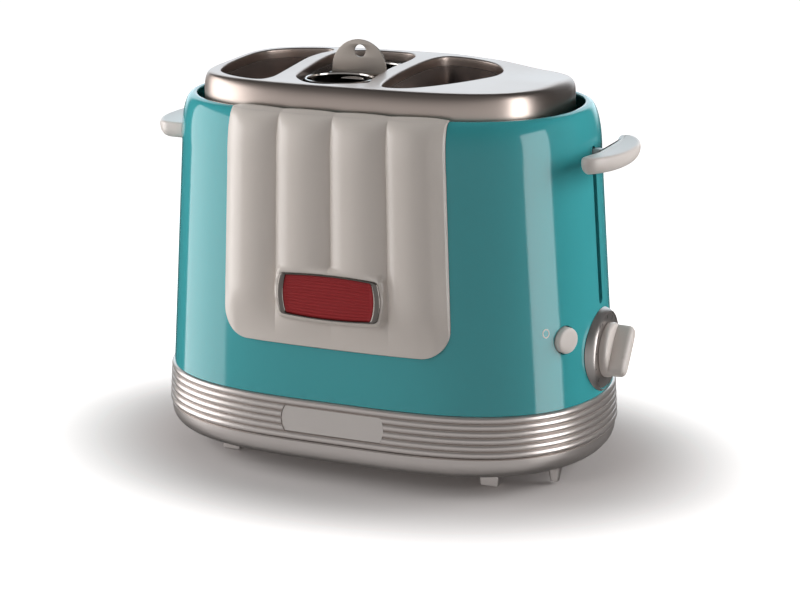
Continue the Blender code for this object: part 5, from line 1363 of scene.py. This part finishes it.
def light_world():
    """White straight behind the object, dark at its sides, and a soft grey in front that fades overhead."""
    world = bpy.data.worlds.new("studio")
    bpy.context.scene.world = world
    world.use_nodes = True
    tree = world.node_tree
    tree.nodes.clear()

    def mixed(share, first, second):
        return add_node(tree, "ShaderNodeMix", {0: share, 2: first, 3: second}, data_type="FLOAT").outputs[0]

    def times(first, second):
        return calculate(tree, "MULTIPLY", first, second)

    ray = add_node(tree, "ShaderNodeLightPath").outputs
    generated = add_node(tree, "ShaderNodeTexCoord").outputs["Generated"]
    x, y, z = add_node(tree, "ShaderNodeSeparateXYZ", {0: generated}).outputs
    square = calculate(tree, "MULTIPLY_ADD", x, x, calculate(tree, "MULTIPLY_ADD", y, y, 0.0001))
    ahead = calculate(tree, "MULTIPLY_ADD", y, 0.92, times(x, -0.39))
    straight = calculate(tree, "DIVIDE", ahead, calculate(tree, "SQRT", square))
    screen = times(faded(tree, straight, 0.8, 0.93, 0.0, 1.0), faded(tree, z, -0.15, -0.02, 0.0, 1.0))
    screen = times(screen, faded(tree, z, 0.5, 0.68, 1.0, 0.0))
    below = times(faded(tree, z, -0.1, -0.6, 1.0, 0.72), faded(tree, z, -0.6, -1.0, 1.0, 0.5))
    front = times(faded(tree, z, -0.05, 0.75, 0.56, 0.1), below)
    sides = mixed(faded(tree, y, -0.2, 0.2, 0.0, 1.0), front, 0.05)
    reflected = calculate(tree, "MAXIMUM", sides, times(screen, 1.5))
    glossy = mirrored_rays(tree, ray)
    strength = mixed(ray["Is Camera Ray"], mixed(glossy, 0.1, reflected), 1.0)
    cool = {0: times(screen, glossy), 6: (1, 1, 1, 1), 7: (0.87, 1.0, 1.1, 1)}
    tone = add_node(tree, "ShaderNodeMix", cool, data_type="RGBA").outputs[2]
    sky = add_node(tree, "ShaderNodeBackground", {"Color": tone, "Strength": strength})
    add_node(tree, "ShaderNodeOutputWorld", {"Surface": sky.outputs[0]})


def soft_box(name, place, aim, width, height, energy):
    light = bpy.data.lights.new(name, "AREA")
    light.shape = "RECTANGLE"
    light.size = width
    light.size_y = height
    light.energy = energy
    lamp = bpy.data.objects.new(name, light)
    lamp.location = place
    lamp.rotation_euler = (Vector(aim) - Vector(place)).to_track_quat("-Z", "Y").to_euler()
    lamp.visible_camera = False
    bpy.context.scene.collection.objects.link(lamp)
    return lamp


def side_lamp(name, azimuth, elevation, distance, share, size):
    """A lamp that lights surfaces but isn't mirrored in them."""
    turn, rise = math.radians(azimuth), math.radians(elevation)
    toward = Vector((math.sin(turn) * math.cos(rise), -math.cos(turn) * math.cos(rise), math.sin(rise)))
    energy = math.pi ** 2 * distance ** 2 * share / max(0.3, math.cos(rise))
    soft_box(name, LAMP_AIM + toward * distance, LAMP_AIM, size, size, energy).visible_glossy = False


def mirror_box(name, place, width, height, radiance):
    """A white box that only shows in reflections."""
    energy = radiance * math.pi * width * height
    soft_box(name, place, (0.0, -0.03, place[2]), width, height, energy).visible_diffuse = False


def light_studio():
    stage_floor()
    light_world()
    for box in MIRROR_BOXES:
        mirror_box(*box)
    for lamp in SIDE_LAMPS:
        side_lamp(*lamp)


def place_camera():
    camera = bpy.data.cameras.new("photo_camera")
    camera.sensor_width = SENSOR_WIDTH
    camera.lens = CAMERA_LENS
    holder = bpy.data.objects.new("photo_camera", camera)
    holder.location = CAMERA_PLACE + MIDDLE
    holder.rotation_euler = (CAMERA_AIM - CAMERA_PLACE).to_track_quat("-Z", "Y").to_euler()
    bpy.context.scene.collection.objects.link(holder)
    bpy.context.scene.camera = holder


place_camera()
make_band()
make_pan()
make_feet()
make_shell()
make_panel()
make_badge()
make_cover()
make_sleeves()
make_basket()
make_cages()
make_handles()
make_timer()
make_button()
dress_cad_nodes()
light_studio()
bpy.context.scene.view_settings.view_transform = "Standard"
